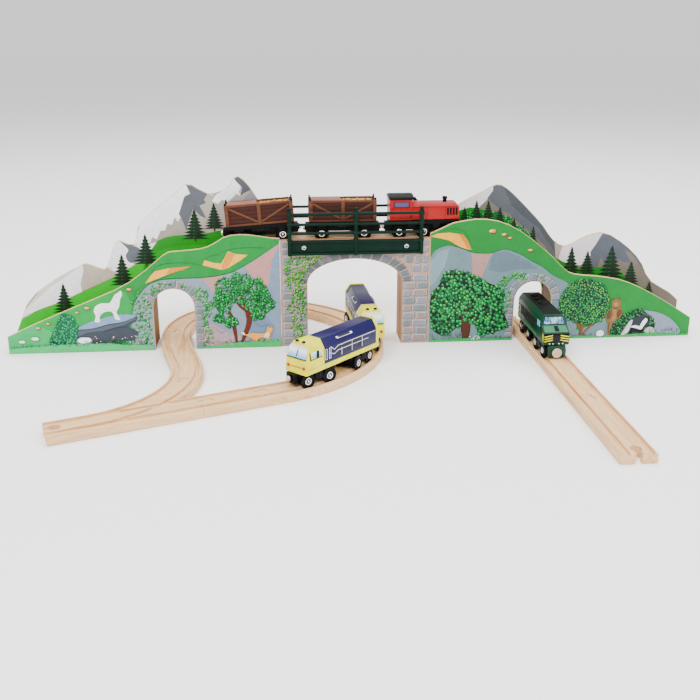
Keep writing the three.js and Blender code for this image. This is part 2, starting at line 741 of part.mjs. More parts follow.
// The origin is under the middle of the whole set
const middle = new THREE.Box3().setFromObject(group, true).getCenter(new THREE.Vector3());
group.position.set(-middle.x, -middle.y, 0);

export default group;
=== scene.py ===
"""Looks for the wooden train set: two printed hills, an arch bridge, wooden track and six vehicles."""
import json
import math
import random
import bpy
import bmesh
from mathutils import Matrix, Vector
from mathutils.geometry import delaunay_2d_cdt

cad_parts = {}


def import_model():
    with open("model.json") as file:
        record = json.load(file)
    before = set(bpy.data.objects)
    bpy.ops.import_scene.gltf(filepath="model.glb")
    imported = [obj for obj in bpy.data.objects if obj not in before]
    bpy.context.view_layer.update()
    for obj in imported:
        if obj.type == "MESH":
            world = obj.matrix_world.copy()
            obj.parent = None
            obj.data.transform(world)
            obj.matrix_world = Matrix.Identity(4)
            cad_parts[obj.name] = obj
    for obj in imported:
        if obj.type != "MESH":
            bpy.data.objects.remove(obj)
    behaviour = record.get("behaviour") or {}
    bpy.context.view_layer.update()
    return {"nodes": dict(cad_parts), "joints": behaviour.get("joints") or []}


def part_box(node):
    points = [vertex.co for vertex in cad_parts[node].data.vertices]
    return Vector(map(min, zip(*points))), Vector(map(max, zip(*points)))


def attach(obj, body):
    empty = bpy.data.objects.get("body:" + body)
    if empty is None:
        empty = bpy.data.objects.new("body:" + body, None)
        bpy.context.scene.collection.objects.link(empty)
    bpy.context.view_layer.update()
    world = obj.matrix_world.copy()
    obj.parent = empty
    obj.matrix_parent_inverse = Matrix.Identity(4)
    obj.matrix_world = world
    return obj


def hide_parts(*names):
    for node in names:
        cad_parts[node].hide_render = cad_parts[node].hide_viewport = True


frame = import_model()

# Driving sizes, in millimetres. X runs along the scenery, Y = 0 is the front face of its boards.
FRONT_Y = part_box("left_hill_front")[0][1] * 1000
SCENERY_DEPTH = 50
HALF_GAUGE = 13
WHEEL_RADIUS = 10
AXLE_HEIGHT = 10.3
AXLE_RADIUS = 1.45
AXLE_BORE = 2
PIN_BORE = 3.5
BODY_HALF = 17
CHASSIS_TOP = 26.7
UNDERSIDE = 21
BEAM_HALF = 10.6
AXLE_BLOCK_HALF = 8
AXLE_BLOCK_FOOT = 6.2
SCALE = Matrix.Diagonal((0.001, 0.001, 0.001, 1))
MM = Matrix.Translation((0, FRONT_Y / 1000, 0)) @ SCALE


def world(x, y, z):
    return Vector((x / 1000, (y + FRONT_Y) / 1000, z / 1000))


# ---------------------------------------------------------------- materials
class Paint:
    """A Principled material with a few node shortcuts."""

    def __init__(self, name, color=(0.5, 0.5, 0.5), roughness=0.5, metallic=0.0, coat=0.0):
        self.mat = bpy.data.materials.new(name)
        self.mat.use_nodes = True
        self.nodes = self.mat.node_tree.nodes
        self.links = self.mat.node_tree.links
        self.bsdf = self.nodes["Principled BSDF"]
        self.bsdf.inputs["Base Color"].default_value = (*color, 1)
        self.bsdf.inputs["Roughness"].default_value = roughness
        self.bsdf.inputs["Metallic"].default_value = metallic
        self.bsdf.inputs["Specular IOR Level"].default_value = 0.22
        self.bsdf.inputs["Coat Weight"].default_value = coat
        self.bsdf.inputs["Coat Roughness"].default_value = 0.15

    def node(self, kind, **values):
        made = self.nodes.new(kind)
        for key, value in values.items():
            if hasattr(made, key):
                setattr(made, key, value)
            else:
                made.inputs[key.replace("_", " ")].default_value = value
        return made

    def place(self, scale=(1, 1, 1), turn=(0, 0, 0)):
        """Coordinates in metres, fixed to the piece, turned and then stretched."""
        coords = self.node("ShaderNodeTexCoord")
        mapping = self.node("ShaderNodeMapping", vector_type="TEXTURE")
        mapping.inputs["Rotation"].default_value = turn
        mapping.inputs["Scale"].default_value = [1 / s for s in scale]
        self.links.new(coords.outputs["Object"], mapping.inputs["Vector"])
        return mapping.outputs["Vector"]

    def noise(self, vector, scale, detail=4.0, roughness=0.55, distortion=0.0):
        made = self.node("ShaderNodeTexNoise", Scale=scale, Detail=detail, Distortion=distortion)
        made.inputs["Roughness"].default_value = roughness
        self.links.new(vector, made.inputs["Vector"])
        return made.outputs["Fac"]

    def ramp(self, value, stops):
        made = self.node("ShaderNodeValToRGB")
        ramp = made.color_ramp
        while len(ramp.elements) < len(stops):
            ramp.elements.new(0.5)
        for element, (at, color) in zip(ramp.elements, stops):
            element.position = at
            element.color = (*color, 1)
        self.links.new(value, made.inputs["Fac"])
        return made.outputs["Color"]

    def mix(self, factor, a, b, blend="MIX"):
        made = self.node("ShaderNodeMix", data_type="RGBA", blend_type=blend)
        for socket, value in ((made.inputs[0], factor), (made.inputs[6], a), (made.inputs[7], b)):
            if hasattr(value, "is_output"):
                self.links.new(value, socket)
            else:
                socket.default_value = value if isinstance(value, float) else (*value, 1)
        return made.outputs[2]

    def color(self, output):
        self.links.new(output, self.bsdf.inputs["Base Color"])

    def rough(self, value, low, high):
        made = self.node("ShaderNodeMapRange", To_Min=low, To_Max=high)
        self.links.new(value, made.inputs["Value"])
        self.links.new(made.outputs["Result"], self.bsdf.inputs["Roughness"])

    def bump(self, value, strength, distance):
        made = self.node("ShaderNodeBump", Strength=strength, Distance=distance)
        self.links.new(value, made.inputs["Height"])
        self.links.new(made.outputs["Normal"], self.bsdf.inputs["Normal"])


def shade(color, factor):
    return tuple(min(c * factor, 1) for c in color)


PURITY = 1.9
DEEPEN = 1.42


def srgb(text):
    """A hex colour as linear RGB, made purer and deeper, because colours come out paler in the render."""
    parts = [int(text[i:i + 2], 16) / 255 for i in (0, 2, 4)]
    linear = [c / 12.92 if c < 0.04045 else ((c + 0.055) / 1.055) ** 2.4 for c in parts]
    peak = max(*linear, 0.001)
    return tuple(0.96 * peak ** DEEPEN * (c / peak) ** PURITY for c in linear)


def wood(name, light, dark, turn=0.0, along="X", roughness=0.5):
    """Straight-grained wood: long fine fibres, slow colour bands and small pores."""
    paint = Paint(name, light, roughness)
    stretch = {"X": (0.06, 1, 1), "Z": (1, 1, 0.06)}[along]
    grain = paint.place(stretch, (0, 0, turn))
    fine = paint.noise(grain, 700, 6, 0.6, 0.4)
    bands = paint.noise(grain, 110, 3, 0.5, 1.2)
    base = paint.ramp(bands, [(0.3, light), (0.55, shade(light, 0.93)), (0.75, dark)])
    fibres = paint.ramp(fine, [(0.35, (0.80, 0.76, 0.70)), (0.6, (1, 1, 1))])
    specks = paint.noise(paint.place((0.12, 1, 1), (0, 0, turn)), 2600, 2)
    pores = paint.ramp(specks, [(0.27, (0.62, 0.5, 0.4)), (0.34, (1, 1, 1))])
    paint.color(paint.mix(0.6, paint.mix(1.0, base, fibres, "MULTIPLY"), pores, "MULTIPLY"))
    paint.rough(fine, roughness - 0.08, roughness + 0.1)
    paint.bump(fine, 0.25, 0.0002)
    return paint.mat


def gloss_paint(name, color, roughness=0.36):
    """Sprayed toy enamel over wood: slight mottling, faint orange peel and worn tone at random."""
    paint = Paint(name, color, roughness, coat=0.1)
    place = paint.place()
    tone = paint.noise(place, 60, 3)
    paint.color(paint.ramp(tone, [(0.3, shade(color, 0.82)), (0.55, color), (0.8, shade(color, 1.12))]))
    peel = paint.noise(place, 900, 2)
    paint.bump(peel, 0.08, 0.0002)
    paint.rough(tone, roughness - 0.06, roughness + 0.1)
    return paint.mat


def moulded_plastic(name, color, roughness=0.4):
    paint = Paint(name, color, roughness)
    paint.bsdf.inputs["Specular IOR Level"].default_value = 0.12
    place = paint.place()
    tone = paint.noise(place, 90, 4)
    paint.color(paint.ramp(tone, [(0.3, shade(color, 0.75)), (0.6, color), (0.85, shade(color, 1.35))]))
    paint.rough(paint.noise(place, 300, 3), roughness - 0.1, roughness + 0.12)
    paint.bump(paint.noise(place, 1800, 2), 0.06, 0.0002)
    return paint.mat


def bright_metal(name, color=(0.82, 0.82, 0.84), roughness=0.22):
    paint = Paint(name, color, roughness, 1.0)
    place = paint.place()
    scratch = paint.noise(paint.place((0.1, 1, 1)), 3000, 3)
    paint.color(paint.ramp(paint.noise(place, 200, 3), [(0.3, shade(color, 0.8)), (0.7, color)]))
    paint.rough(scratch, roughness - 0.08, roughness + 0.15)
    return paint.mat


def print_ink(name, color):
    """Printed colour with the soft brushed mottling of a painted picture."""
    spread, mottle, roughness = 0.16, 90, 0.45
    paint = Paint(name, color, roughness)
    place = paint.place()
    broad = paint.noise(place, mottle, 5, 0.6, 0.8)
    fine = paint.noise(place, mottle * 8, 3, 0.5)
    darker, paler = shade(color, 1 - spread), shade(color, 1 + spread)
    tone = paint.ramp(broad, [(0.25, darker), (0.5, color), (0.78, paler)])
    specks = paint.ramp(fine, [(0.3, shade(color, 0.7)), (0.7, shade(color, 1.25))])
    paint.color(paint.mix(0.25, tone, specks))
    paint.rough(fine, roughness - 0.06, roughness + 0.08)
    paint.bump(fine, 0.05, 0.0001)
    return paint.mat


_inks = {}


def ink(hexcode):
    """One printed colour, shared by everything that uses it."""
    key = f"ink_{hexcode}"
    if key not in _inks:
        _inks[key] = print_ink(key, srgb(hexcode))
    return _inks[key]


BEECH_LIGHT = srgb("F1DABC")
BEECH_DARK = srgb("E0BC92")
MAT = {
    "beech": wood("beech", BEECH_LIGHT, BEECH_DARK),
    "birch": wood("birch_board", srgb("E9D9B5"), srgb("D8BE8C"), roughness=0.55),
    # The blocks inside the hills get wood painted darker than the boards, as painted shade for the inside of
    # the tunnels.
    "block": wood("block_timber_painted_shade", srgb("A08A70"), srgb("80694F"), along="Z", roughness=0.65),
    "timber": wood("timber", srgb("C9A77C"), srgb("A98258"), along="Z", roughness=0.6),
    "red": gloss_paint("red_paint", srgb("B4141C")),
    "blue": gloss_paint("blue_paint", srgb("2C1B66")),
    "yellow": gloss_paint("yellow_paint", srgb("ECE84C")),
    "white": gloss_paint("white_paint", srgb("EDEDF2")),
    "window": gloss_paint("window_print", srgb("A9D2EC"), 0.2),
    "green": gloss_paint("green_paint", srgb("0E5240")),
    "teal": gloss_paint("teal_paint", srgb("118E6C")),
    "black": moulded_plastic("black_plastic", srgb("101114"), 0.5),
    "black_paint": moulded_plastic("black_paint", srgb("0C0D0F"), 0.45),
    "rail_green": moulded_plastic("rail_green", srgb("0A4036"), 0.5),
    "hub": bright_metal("hub_metal"),
    "magnet": bright_metal("magnet_metal", (0.78, 0.74, 0.72), 0.28),
    "axle": bright_metal("axle_steel", (0.7, 0.7, 0.72), 0.3),
    "lamp": gloss_paint("lamp_amber", srgb("C8641C"), 0.25),
    "plank_light": wood("plank_light", srgb("80604B"), srgb("5E4334"), roughness=0.55),
    "plank_dark": wood("plank_dark", srgb("5A3A2C"), srgb("3A221A"), roughness=0.6),
    "plank_brace": wood("plank_brace", srgb("84644E"), srgb("68503E"), roughness=0.55),
    "lid": wood("lid_wood", srgb("A9857A"), srgb("8D6A5E"), roughness=0.55),
    "plate": gloss_paint("dark_plate", srgb("30343F"), 0.4),
    "window_blue": gloss_paint("window_blue", srgb("7A6E8C"), 0.3),
    "frame_red": gloss_paint("pink_frame", srgb("6A1018"), 0.4),
    # Dark red for the painted shadow lines in the red locomotive's seams.
    "seam_shadow_red": gloss_paint("red_shadow_line", srgb("5E0B10"), 0.4),
}


# ---------------------------------------------------------------- mesh helpers
def piece(name, bm, material, body, slot, matrix=None, smooth=True):
    """Turns a bmesh drawn in millimetres into an object that rides a body."""
    bmesh.ops.recalc_face_normals(bm, faces=bm.faces)
    mesh = bpy.data.meshes.new(name)
    bm.transform(MM if matrix is None else matrix @ SCALE)
    bm.to_mesh(mesh)
    bm.free()
    obj = bpy.data.objects.new(name, mesh)
    bpy.context.collection.objects.link(obj)
    mesh.materials.append(material)
    if smooth:
        smooth_by_angle(obj)
    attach(obj, body)
    return obj


def smooth_group():
    """A node group that smooths every edge except those sharper than 32 degrees."""
    tree = bpy.data.node_groups.new("smooth_by_angle", "GeometryNodeTree")
    tree.interface.new_socket("Geometry", in_out="INPUT", socket_type="NodeSocketGeometry")
    tree.interface.new_socket("Geometry", in_out="OUTPUT", socket_type="NodeSocketGeometry")
    nodes, links = tree.nodes, tree.links
    start, end = nodes.new("NodeGroupInput"), nodes.new("NodeGroupOutput")
    faces, edges = nodes.new("GeometryNodeSetShadeSmooth"), nodes.new("GeometryNodeSetShadeSmooth")
    edges.domain = "EDGE"
    edges.inputs["Shade Smooth"].default_value = False
    angle, sharp = nodes.new("GeometryNodeInputMeshEdgeAngle"), nodes.new("ShaderNodeMath")
    sharp.operation = "GREATER_THAN"
    sharp.inputs[1].default_value = math.radians(32)
    links.new(start.outputs[0], faces.inputs["Geometry"])
    links.new(faces.outputs[0], edges.inputs["Geometry"])
    links.new(angle.outputs["Unsigned Angle"], sharp.inputs[0])
    links.new(sharp.outputs[0], edges.inputs["Selection"])
    links.new(edges.outputs[0], end.inputs[0])
    return tree


SMOOTH = smooth_group()


def smooth_by_angle(obj):
    modifier = obj.modifiers.new("smooth", "NODES")
    modifier.node_group = SMOOTH


def bevel(obj, width, segments=2, angle=30):
    """Rounds an object's edges, ahead of its smoothing."""
    modifier = obj.modifiers.new("bevel", "BEVEL")
    modifier.width = width / 1000
    modifier.segments = segments
    modifier.limit_method = "ANGLE"
    modifier.angle_limit = math.radians(angle)
    modifier.harden_normals = False
    if obj.modifiers[0].name == "smooth":
        obj.modifiers.move(len(obj.modifiers) - 1, 0)
    return obj


def bore(obj, matrix, holes):
    """Cuts round holes through an object. Each hole is two end points and a radius, in millimetres."""
    rods = bmesh.new()
    for start, end, radius in holes:
        add_rod(rods, start, end, radius, 24)
    bmesh.ops.recalc_face_normals(rods, faces=rods.faces)
    rods.transform(matrix @ SCALE)
    cutter_mesh = bpy.data.meshes.new("bore_cutter")
    rods.to_mesh(cutter_mesh)
    rods.free()
    cutter = bpy.data.objects.new("bore_cutter", cutter_mesh)
    blank = bpy.data.objects.new("bore_blank", obj.data)
    for helper in (cutter, blank):
        bpy.context.collection.objects.link(helper)
    cut = blank.modifiers.new("bore", "BOOLEAN")
    cut.operation = "DIFFERENCE"
    cut.solver = "EXACT"
    cut.use_self = True
    cut.object = cutter
    graph = bpy.context.evaluated_depsgraph_get()
    obj.data = bpy.data.meshes.new_from_object(blank.evaluated_get(graph))
    for helper in (cutter, blank):
        bpy.data.objects.remove(helper)
    return obj


def axle_bores(obj, matrix, places):
    """Bores a frame for the axle at each place along it, as wide as the CAD bores."""
    left, right = -HALF_GAUGE, HALF_GAUGE
    bore(obj, matrix, [((x, left, AXLE_HEIGHT), (x, right, AXLE_HEIGHT), AXLE_BORE) for x in places])


def finish_node(node, material, width):
    """Gives a carried-over CAD node soft edges and a material."""
    obj = frame["nodes"][node]
    merge = obj.modifiers.new("flat_faces", "DECIMATE")
    merge.decimate_type = "DISSOLVE"
    merge.angle_limit = math.radians(0.6)
    bevel(obj, width, angle=32)
    smooth_by_angle(obj)
    for slot in obj.material_slots:
        slot.material = material
    return obj


def add_box(bm, x, y, z):
    corners = [bm.verts.new((a, b, c)) for c in z for b in y for a in x]
    for ids in ((0, 1, 3, 2), (4, 6, 7, 5), (0, 4, 5, 1), (2, 3, 7, 6), (0, 2, 6, 4), (1, 5, 7, 3)):
        bm.faces.new([corners[i] for i in ids])


def ring(bm, centre, u, v, radius, sides):
    made = []
    for i in range(sides):
        turn = 2 * math.pi * i / sides
        made.append(bm.verts.new(centre + radius * (math.cos(turn) * u + math.sin(turn) * v)))
    return made


def bridge_rings(bm, a, b):
    count = len(a)
    for i in range(count):
        bm.faces.new((a[i], a[(i + 1) % count], b[(i + 1) % count], b[i]))


def axes_across(direction):
    side = Vector((0, 0, 1)) if abs(direction.z) < 0.9 else Vector((1, 0, 0))
    u = direction.cross(side).normalized()
    return u, direction.cross(u).normalized()


def add_turned(bm, start, direction, profile, sides=32):
    """A turned solid: (distance along, radius) pairs about a line, closed at both ends."""
    start = Vector(start)
    direction = Vector(direction).normalized()
    u, v = axes_across(direction)
    rings = [ring(bm, start + along * direction, u, v, max(r, 0.02), sides) for along, r in profile]
    for a, b in zip(rings, rings[1:]):
        bridge_rings(bm, a, b)
    bm.faces.new(rings[0])
    bm.faces.new(rings[-1])


def add_rod(bm, start, end, radius, sides=20):
    along = Vector(end) - Vector(start)
    edge = min(radius * 0.25, 0.5)
    length = along.length
    profile = [(0, radius - edge), (edge, radius), (length - edge, radius), (length, radius - edge)]
    add_turned(bm, start, along, profile, sides)


def add_ball(bm, centre, radius, sides, belts):
    """A ball with a point at each pole, built in a fixed order, so that every run gives the same mesh."""
    x, y, z = Vector((1, 0, 0)), Vector((0, 1, 0)), Vector((0, 0, 1))
    centre = Vector(centre)
    low, high = bm.verts.new(centre - radius * z), bm.verts.new(centre + radius * z)
    rings = []
    for i in range(1, belts):
        turn = math.pi * i / belts
        rings.append(ring(bm, centre - radius * math.cos(turn) * z, x, y, radius * math.sin(turn), sides))
    for a, b in zip(rings, rings[1:]):
        bridge_rings(bm, a, b)
    for pole, belt in ((low, rings[0]), (high, rings[-1])):
        for i in range(sides):
            bm.faces.new((pole, belt[i], belt[(i + 1) % sides]))


def add_prism(bm, outline, lift):
    """A closed plate: outline points in millimetres, each lifted by a vector."""
    low = [bm.verts.new(p) for p in outline]
    high = [bm.verts.new(Vector(p) + Vector(lift)) for p in outline]
    bm.faces.new(low)
    bm.faces.new(high)
    bridge_rings(bm, low, high)


def rounded(points, radius, steps=4):
    """A closed outline with its corners rounded by arcs that keep clear of short sides."""
    made = []
    count = len(points)
    for i, point in enumerate(points):
        here = Vector(point)
        before, after = Vector(points[i - 1]) - here, Vector(points[(i + 1) % count]) - here
        reach = min(radius, before.length * 0.45, after.length * 0.45)
        a, b = here + before.normalized() * reach, here + after.normalized() * reach
        for k in range(steps + 1):
            t = k / steps
            made.append((1 - t) ** 2 * a + 2 * t * (1 - t) * here + t * t * b)
    return made


# ---------------------------------------------------------------- carriages
def axle_blocks(bm, places, top=13.5):
    """The blocks of a frame that hold its axles."""
    for x in places:
        span = (x - AXLE_BLOCK_HALF, x + AXLE_BLOCK_HALF)
        add_box(bm, span, (-BEAM_HALF, BEAM_HALF), (AXLE_BLOCK_FOOT, top))


def joint_place(name):
    """Where a joint of the frame stands and the axis it turns about."""
    for joint in frame["joints"]:
        if joint["name"] == name:
            return Vector(joint["pos_m"]), Vector(joint["axis"])
    raise KeyError(name)


def carriage_frame(rear_joint, front_joint):
    """A carriage's own frame: origin over the groove floor, X forward, Z up."""
    rear, _ = joint_place(rear_joint)
    front, _ = joint_place(front_joint)
    forward = (front - rear).normalized()
    across = Vector((0, 0, 1)).cross(forward).normalized()
    up = forward.cross(across)
    middle = (rear + front) / 2 - up * AXLE_HEIGHT / 1000
    turn = Matrix((forward, across, up)).transposed().to_4x4()
    return Matrix.Translation(middle) @ turn


# ---------------------------------------------------------------- wheels
def wheelset(node):
    """A steel axle with two black wheels and a bright hub ring on each outer face."""
    centre, axis = joint_place(f"{node}_spin")
    up = Vector((0, 0, 1))
    turn = Matrix((axis.cross(up).normalized(), axis, up)).transposed().to_4x4()
    matrix = Matrix.Translation(centre) @ turn
    tread = bmesh.new()
    hubs = bmesh.new()
    for side in (-1, 1):
        across = Vector((0, side, 0))
        inner = HALF_GAUGE - 1.4
        add_turned(tread, across * inner, across, [
            (0, 3), (0.0, 9.2), (0.4, WHEEL_RADIUS), (2.2, WHEEL_RADIUS), (2.8, 9.3),
            (2.75, 8.6), (2.1, 7.8), (2.1, 5.4), (2.6, 4.9), (2.6, 2),
        ], 48)
        face = across * (inner + 2.3)
        add_turned(tread, face, across, [(0, 2.9), (0.5, 2.9), (0.55, 0.1)], 32)
        rim = [(0, 4.6), (0.7, 4.5), (0.95, 4.1), (0.9, 3.3), (0.3, 2.95), (0.25, 0.1)]
        add_turned(hubs, face, across, rim, 40)
        add_turned(hubs, face, across, [(0.4, 1.5), (0.95, 1.4), (1.3, 0.8), (1.35, 0.1)], 24)
    tyres = piece(f"{node}_tyres", tread, MAT["black"], node, "wheel_black", matrix)
    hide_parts(node)
    piece(f"{node}_hubs", hubs, MAT["hub"], node, "bright_metal", matrix)
    axle = bmesh.new()
    add_rod(axle, (0, -HALF_GAUGE - 1, 0), (0, HALF_GAUGE + 1, 0), AXLE_RADIUS, 20)
    piece(f"{node}_axle", axle, MAT["axle"], node, "bright_metal", matrix)


def coupler(name, body, matrix, x, height, toward, reach=7):
    """A buffer block at a vehicle's end with a round magnet in a short black socket."""
    shank = bmesh.new()
    add_box(shank, sorted((x - toward * reach, x + toward * 0.8)), (-8, 8), (height - 6, height + 6))
    cup = [(0, 3.6), (6, 3.6), (7, 4.6), (8.2, 4.6)]
    add_turned(shank, (x - toward * 6, 0, height), (toward, 0, 0), cup, 24)
    piece(f"{name}_socket", shank, MAT["black"], body, "black_plastic", matrix)
    magnet = bmesh.new()
    profile = [(0, 3.7), (2.2, 3.7), (2.7, 3.3), (2.7, 2.4), (2.4, 2.1), (2.4, 0.1)]
    add_turned(magnet, (x + toward * 1.6, 0, height), (toward, 0, 0), profile, 32)
    piece(f"{name}_magnet", magnet, MAT["magnet"], body, "bright_metal", matrix)


# ---------------------------------------------------------------- wagons
WAGON_HALF = 46
WAGON_FLOOR = 27
WAGON_RIM = 56
WAGON_AXLES = (-29, 29)


def plank_side(bm_dark, bm_light, bm_brace, side):
    """One long side: dark planks between lighter posts, with a brace in each half."""
    y0, y1 = sorted((side * 14.6, side * 15.6))
    rows = 4
    low, high = WAGON_FLOOR + 2.6, WAGON_RIM - 3
    step = (high - low) / rows
    gap = 0.15
    for i in range(rows):
        board = (low + i * step + gap, low + (i + 1) * step - gap)
        add_box(bm_dark, (-WAGON_HALF + 4, WAGON_HALF - 4), (y0, y1), board)
    liner = sorted((side * 14, side * 14.7))
    add_box(bm_dark, (-WAGON_HALF + 4.2, WAGON_HALF - 4.2), liner, (low, high))
    face = sorted((side * 14.6, side * 17))
    for x0, x1 in ((-WAGON_HALF, -WAGON_HALF + 5), (-2.4, 2.4), (WAGON_HALF - 5, WAGON_HALF)):
        add_box(bm_light, (x0, x1), face, (WAGON_FLOOR, WAGON_RIM - 0.2))
    rail = sorted((side * 14.6, side * 16.7))
    for heights in ((high, WAGON_RIM), (WAGON_FLOOR, low)):
        for span in ((-WAGON_HALF + 5.1, -2.5), (2.5, WAGON_HALF - 5.1)):
            add_box(bm_light, span, rail, heights)
    for sign in (-1, 1):
        top = Vector((sign * (WAGON_HALF - 5.4), 0, high - 1.4))
        foot = Vector((sign * 2.8, 0, low + 1.4))
        along = (foot - top).normalized()
        wide = Vector((along.z, 0, -along.x)) * 1.3
        y = side * 15.62
        outline = [(p.x, y, p.z) for p in (top - wide, foot - wide, foot + wide, top + wide)]
        add_prism(bm_brace, outline, (0, side * 0.8, 0))


def wagon_end(bm_light, bm_dark, sign):
    x0, x1 = sorted((sign * (WAGON_HALF - 2.4), sign * (WAGON_HALF - 0.4)))
    add_box(bm_dark, (x0, x1), (-14.5, 14.5), (WAGON_FLOOR, WAGON_RIM - 2))
    for y in (-9, 0, 9):
        out = sorted((sign * (WAGON_HALF - 0.5), sign * (WAGON_HALF + 0.4)))
        add_box(bm_light, out, (y - 1.6, y + 1.6), (WAGON_FLOOR, WAGON_RIM - 1))


def lid_outline(half, low, high, chamfer):
    """The lid's end outline, with both upper corners cut off."""
    shoulder = high - chamfer
    upper = [(half, shoulder), (half - chamfer, high), (chamfer - half, high), (-half, shoulder)]
    return [(-half, low), (half, low), *upper]


def wagon(name):
    """An open plank wagon with a lid and a heap of ore."""
    matrix = carriage_frame(f"{name}_wheels_rear_spin", f"{name}_wheels_front_spin")
    dark, light, brace = bmesh.new(), bmesh.new(), bmesh.new()
    for side in (-1, 1):
        plank_side(dark, light, brace, side)
    for sign in (-1, 1):
        wagon_end(light, dark, sign)
    add_box(dark, (-WAGON_HALF + 2, WAGON_HALF - 2), (-14.6, 14.6), (WAGON_FLOOR, WAGON_FLOOR + 2.5))
    shell = bevel(piece(f"{name}_planks", dark, MAT["plank_dark"], name, "brown_planks", matrix), 0.25)
    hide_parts(f"{name}_body")
    bevel(piece(f"{name}_posts", light, MAT["plank_light"], name, "brown_planks", matrix), 0.45)
    bevel(piece(f"{name}_braces", brace, MAT["plank_brace"], name, "brown_planks", matrix), 0.3)
    stakes = bmesh.new()
    for x in (-WAGON_HALF + 1.4, WAGON_HALF - 1.4):
        for y in (-14.6, 14.6):
            add_box(stakes, (x - 1.1, x + 1.1), (y - 1.1, y + 1.1), (WAGON_RIM - 2, 59))
    bevel(piece(f"{name}_stakes", stakes, MAT["black"], name, "black_plastic", matrix), 0.4)
    wagon_load(name, matrix)
    wagon_chassis(name, matrix)
    for end, toward in (("rear", -1), ("front", 1)):
        coupler(f"{name}_{end}", name, matrix, toward * 50, 17, toward, 12)


def wagon_load(name, matrix):
    """A boarded lid over the rear half and a heap of ore in the front half."""
    lid = bmesh.new()
    outline = rounded(lid_outline(13.4, WAGON_RIM - 8, WAGON_RIM + 0.6, 3.2), 0.8)
    add_prism(lid, [(-WAGON_HALF + 3.4, p.x, p.y) for p in outline], (WAGON_HALF - 6, 0, 0))
    top = bevel(piece(f"{name}_lid", lid, MAT["lid"], name, "ore_load", matrix), 0.4)
    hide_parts(f"{name}_load")
    rng = random.Random(7)
    ore = bmesh.new()
    add_box(ore, (-2.4, WAGON_HALF - 3.3), (-14.2, 14.2), (WAGON_RIM - 10, WAGON_RIM - 4))
    for _ in range(230):
        x, y = rng.uniform(-1.5, WAGON_HALF - 5), rng.uniform(-12.6, 12.6)
        heap = 1.8 * (1 - (y / 14) ** 2)
        size = rng.uniform(1.0, 2.1)
        spot = Matrix.Translation((x, y, WAGON_RIM - 4.1 + heap + rng.uniform(-0.6, 0.5)))
        spin = Matrix.Rotation(rng.uniform(0, 6.3), 4, Vector((rng.random(), rng.random(), 1)))
        shape = Matrix.Diagonal((size, size * rng.uniform(0.7, 1), size * rng.uniform(0.6, 0.9), 1))
        bmesh.ops.create_icosphere(ore, subdivisions=1, radius=1, matrix=spot @ spin @ shape)
    piece(f"{name}_ore", ore, ore_material(), name, "ore_load", matrix, smooth=False)


def ore_material():
    if "ore" not in MAT:
        paint = Paint("ore", srgb("B5893A"), 0.6)
        cells = paint.node("ShaderNodeTexVoronoi", Scale=520.0)
        paint.links.new(paint.place(), cells.inputs["Vector"])
        stops = [(0.1, srgb("4A3A1C")), (0.35, srgb("8E7234")), (0.6, srgb("D3A34A")), (0.85, srgb("F0DA9A"))]
        paint.color(paint.ramp(cells.outputs["Color"], stops))
        paint.bump(paint.noise(paint.place(), 900, 4), 0.4, 0.0004)
        MAT["ore"] = paint.mat
    return MAT["ore"]


def wagon_chassis(name, matrix):
    """Black underframe: side sills, axle guards, spring packs and a brake cylinder."""
    bm = bmesh.new()
    half = WAGON_HALF - 1
    add_box(bm, (-half, half), (-16, 16), (22, CHASSIS_TOP))
    add_box(bm, (-half + 6, half - 6), (-BEAM_HALF, BEAM_HALF), (13, 23))
    axle_blocks(bm, WAGON_AXLES, 14)
    for side in (-1, 1):
        y = sorted((side * 15.0, side * 16.4))
        for x in WAGON_AXLES:
            guard = [(x - 7, y[0], 22), (x + 7, y[0], 22), (x + 3, y[0], 15.5), (x - 3, y[0], 15.5)]
            add_prism(bm, guard, (0, y[1] - y[0], 0))
        add_box(bm, (-12, 12), y, (18, 22))
        add_turned(bm, (-6, side * 15.7, 19), (1, 0, 0), [(0, 1.8), (1, 2.3), (11, 2.3), (12, 1.8)], 20)
    made = bevel(piece(f"{name}_underframe", bm, MAT["black"], name, "black_plastic", matrix), 0.4)
    axle_bores(made, matrix, WAGON_AXLES)
    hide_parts(f"{name}_chassis")


# ---------------------------------------------------------------- locomotives
def half_section(width, low, shoulder, top, roof_half, radius=1.2):
    """Right half of a body's end outline from the bottom to the roof, corners rounded."""
    points = rounded([
        (-width, low), (width, low), (width, shoulder),
        (roof_half, top), (-roof_half, top), (-width, shoulder),
    ], radius, 3)
    right = sorted((p for p in points if p.x > 0), key=lambda p: math.atan2(p.y - (low + top) / 2, p.x))
    return [(p.x, p.y) for p in right]


def loft(bm, section, rear, front):
    """A body between two ends. Each end gives x for a height, so it can slope."""
    rows = []
    for end in (rear, front):
        right = [bm.verts.new((end(z), y, z)) for y, z in section]
        left = [bm.verts.new((end(z), -y, z)) for y, z in section]
        rows.append((right, left))
    (rear_right, rear_left), (front_right, front_left) = rows
    count = len(section)
    for i in range(count - 1):
        bm.faces.new((rear_right[i], rear_right[i + 1], front_right[i + 1], front_right[i]))
        bm.faces.new((rear_left[i], rear_left[i + 1], front_left[i + 1], front_left[i]))
    for i in (0, count - 1):
        bm.faces.new((rear_right[i], front_right[i], front_left[i], rear_left[i]))
    for right, left in rows:
        for i in range(count - 1):
            bm.faces.new((right[i], right[i + 1], left[i + 1], left[i]))


def body_block(name, section, rear, front, material, body, slot, matrix, soft=0.6):
    bm = bmesh.new()
    rear_end = rear if callable(rear) else (lambda z: rear)
    front_end = front if callable(front) else (lambda z: front)
    loft(bm, section, rear_end, front_end)
    return bevel(piece(name, bm, material, body, slot, matrix), soft, 3, 25)


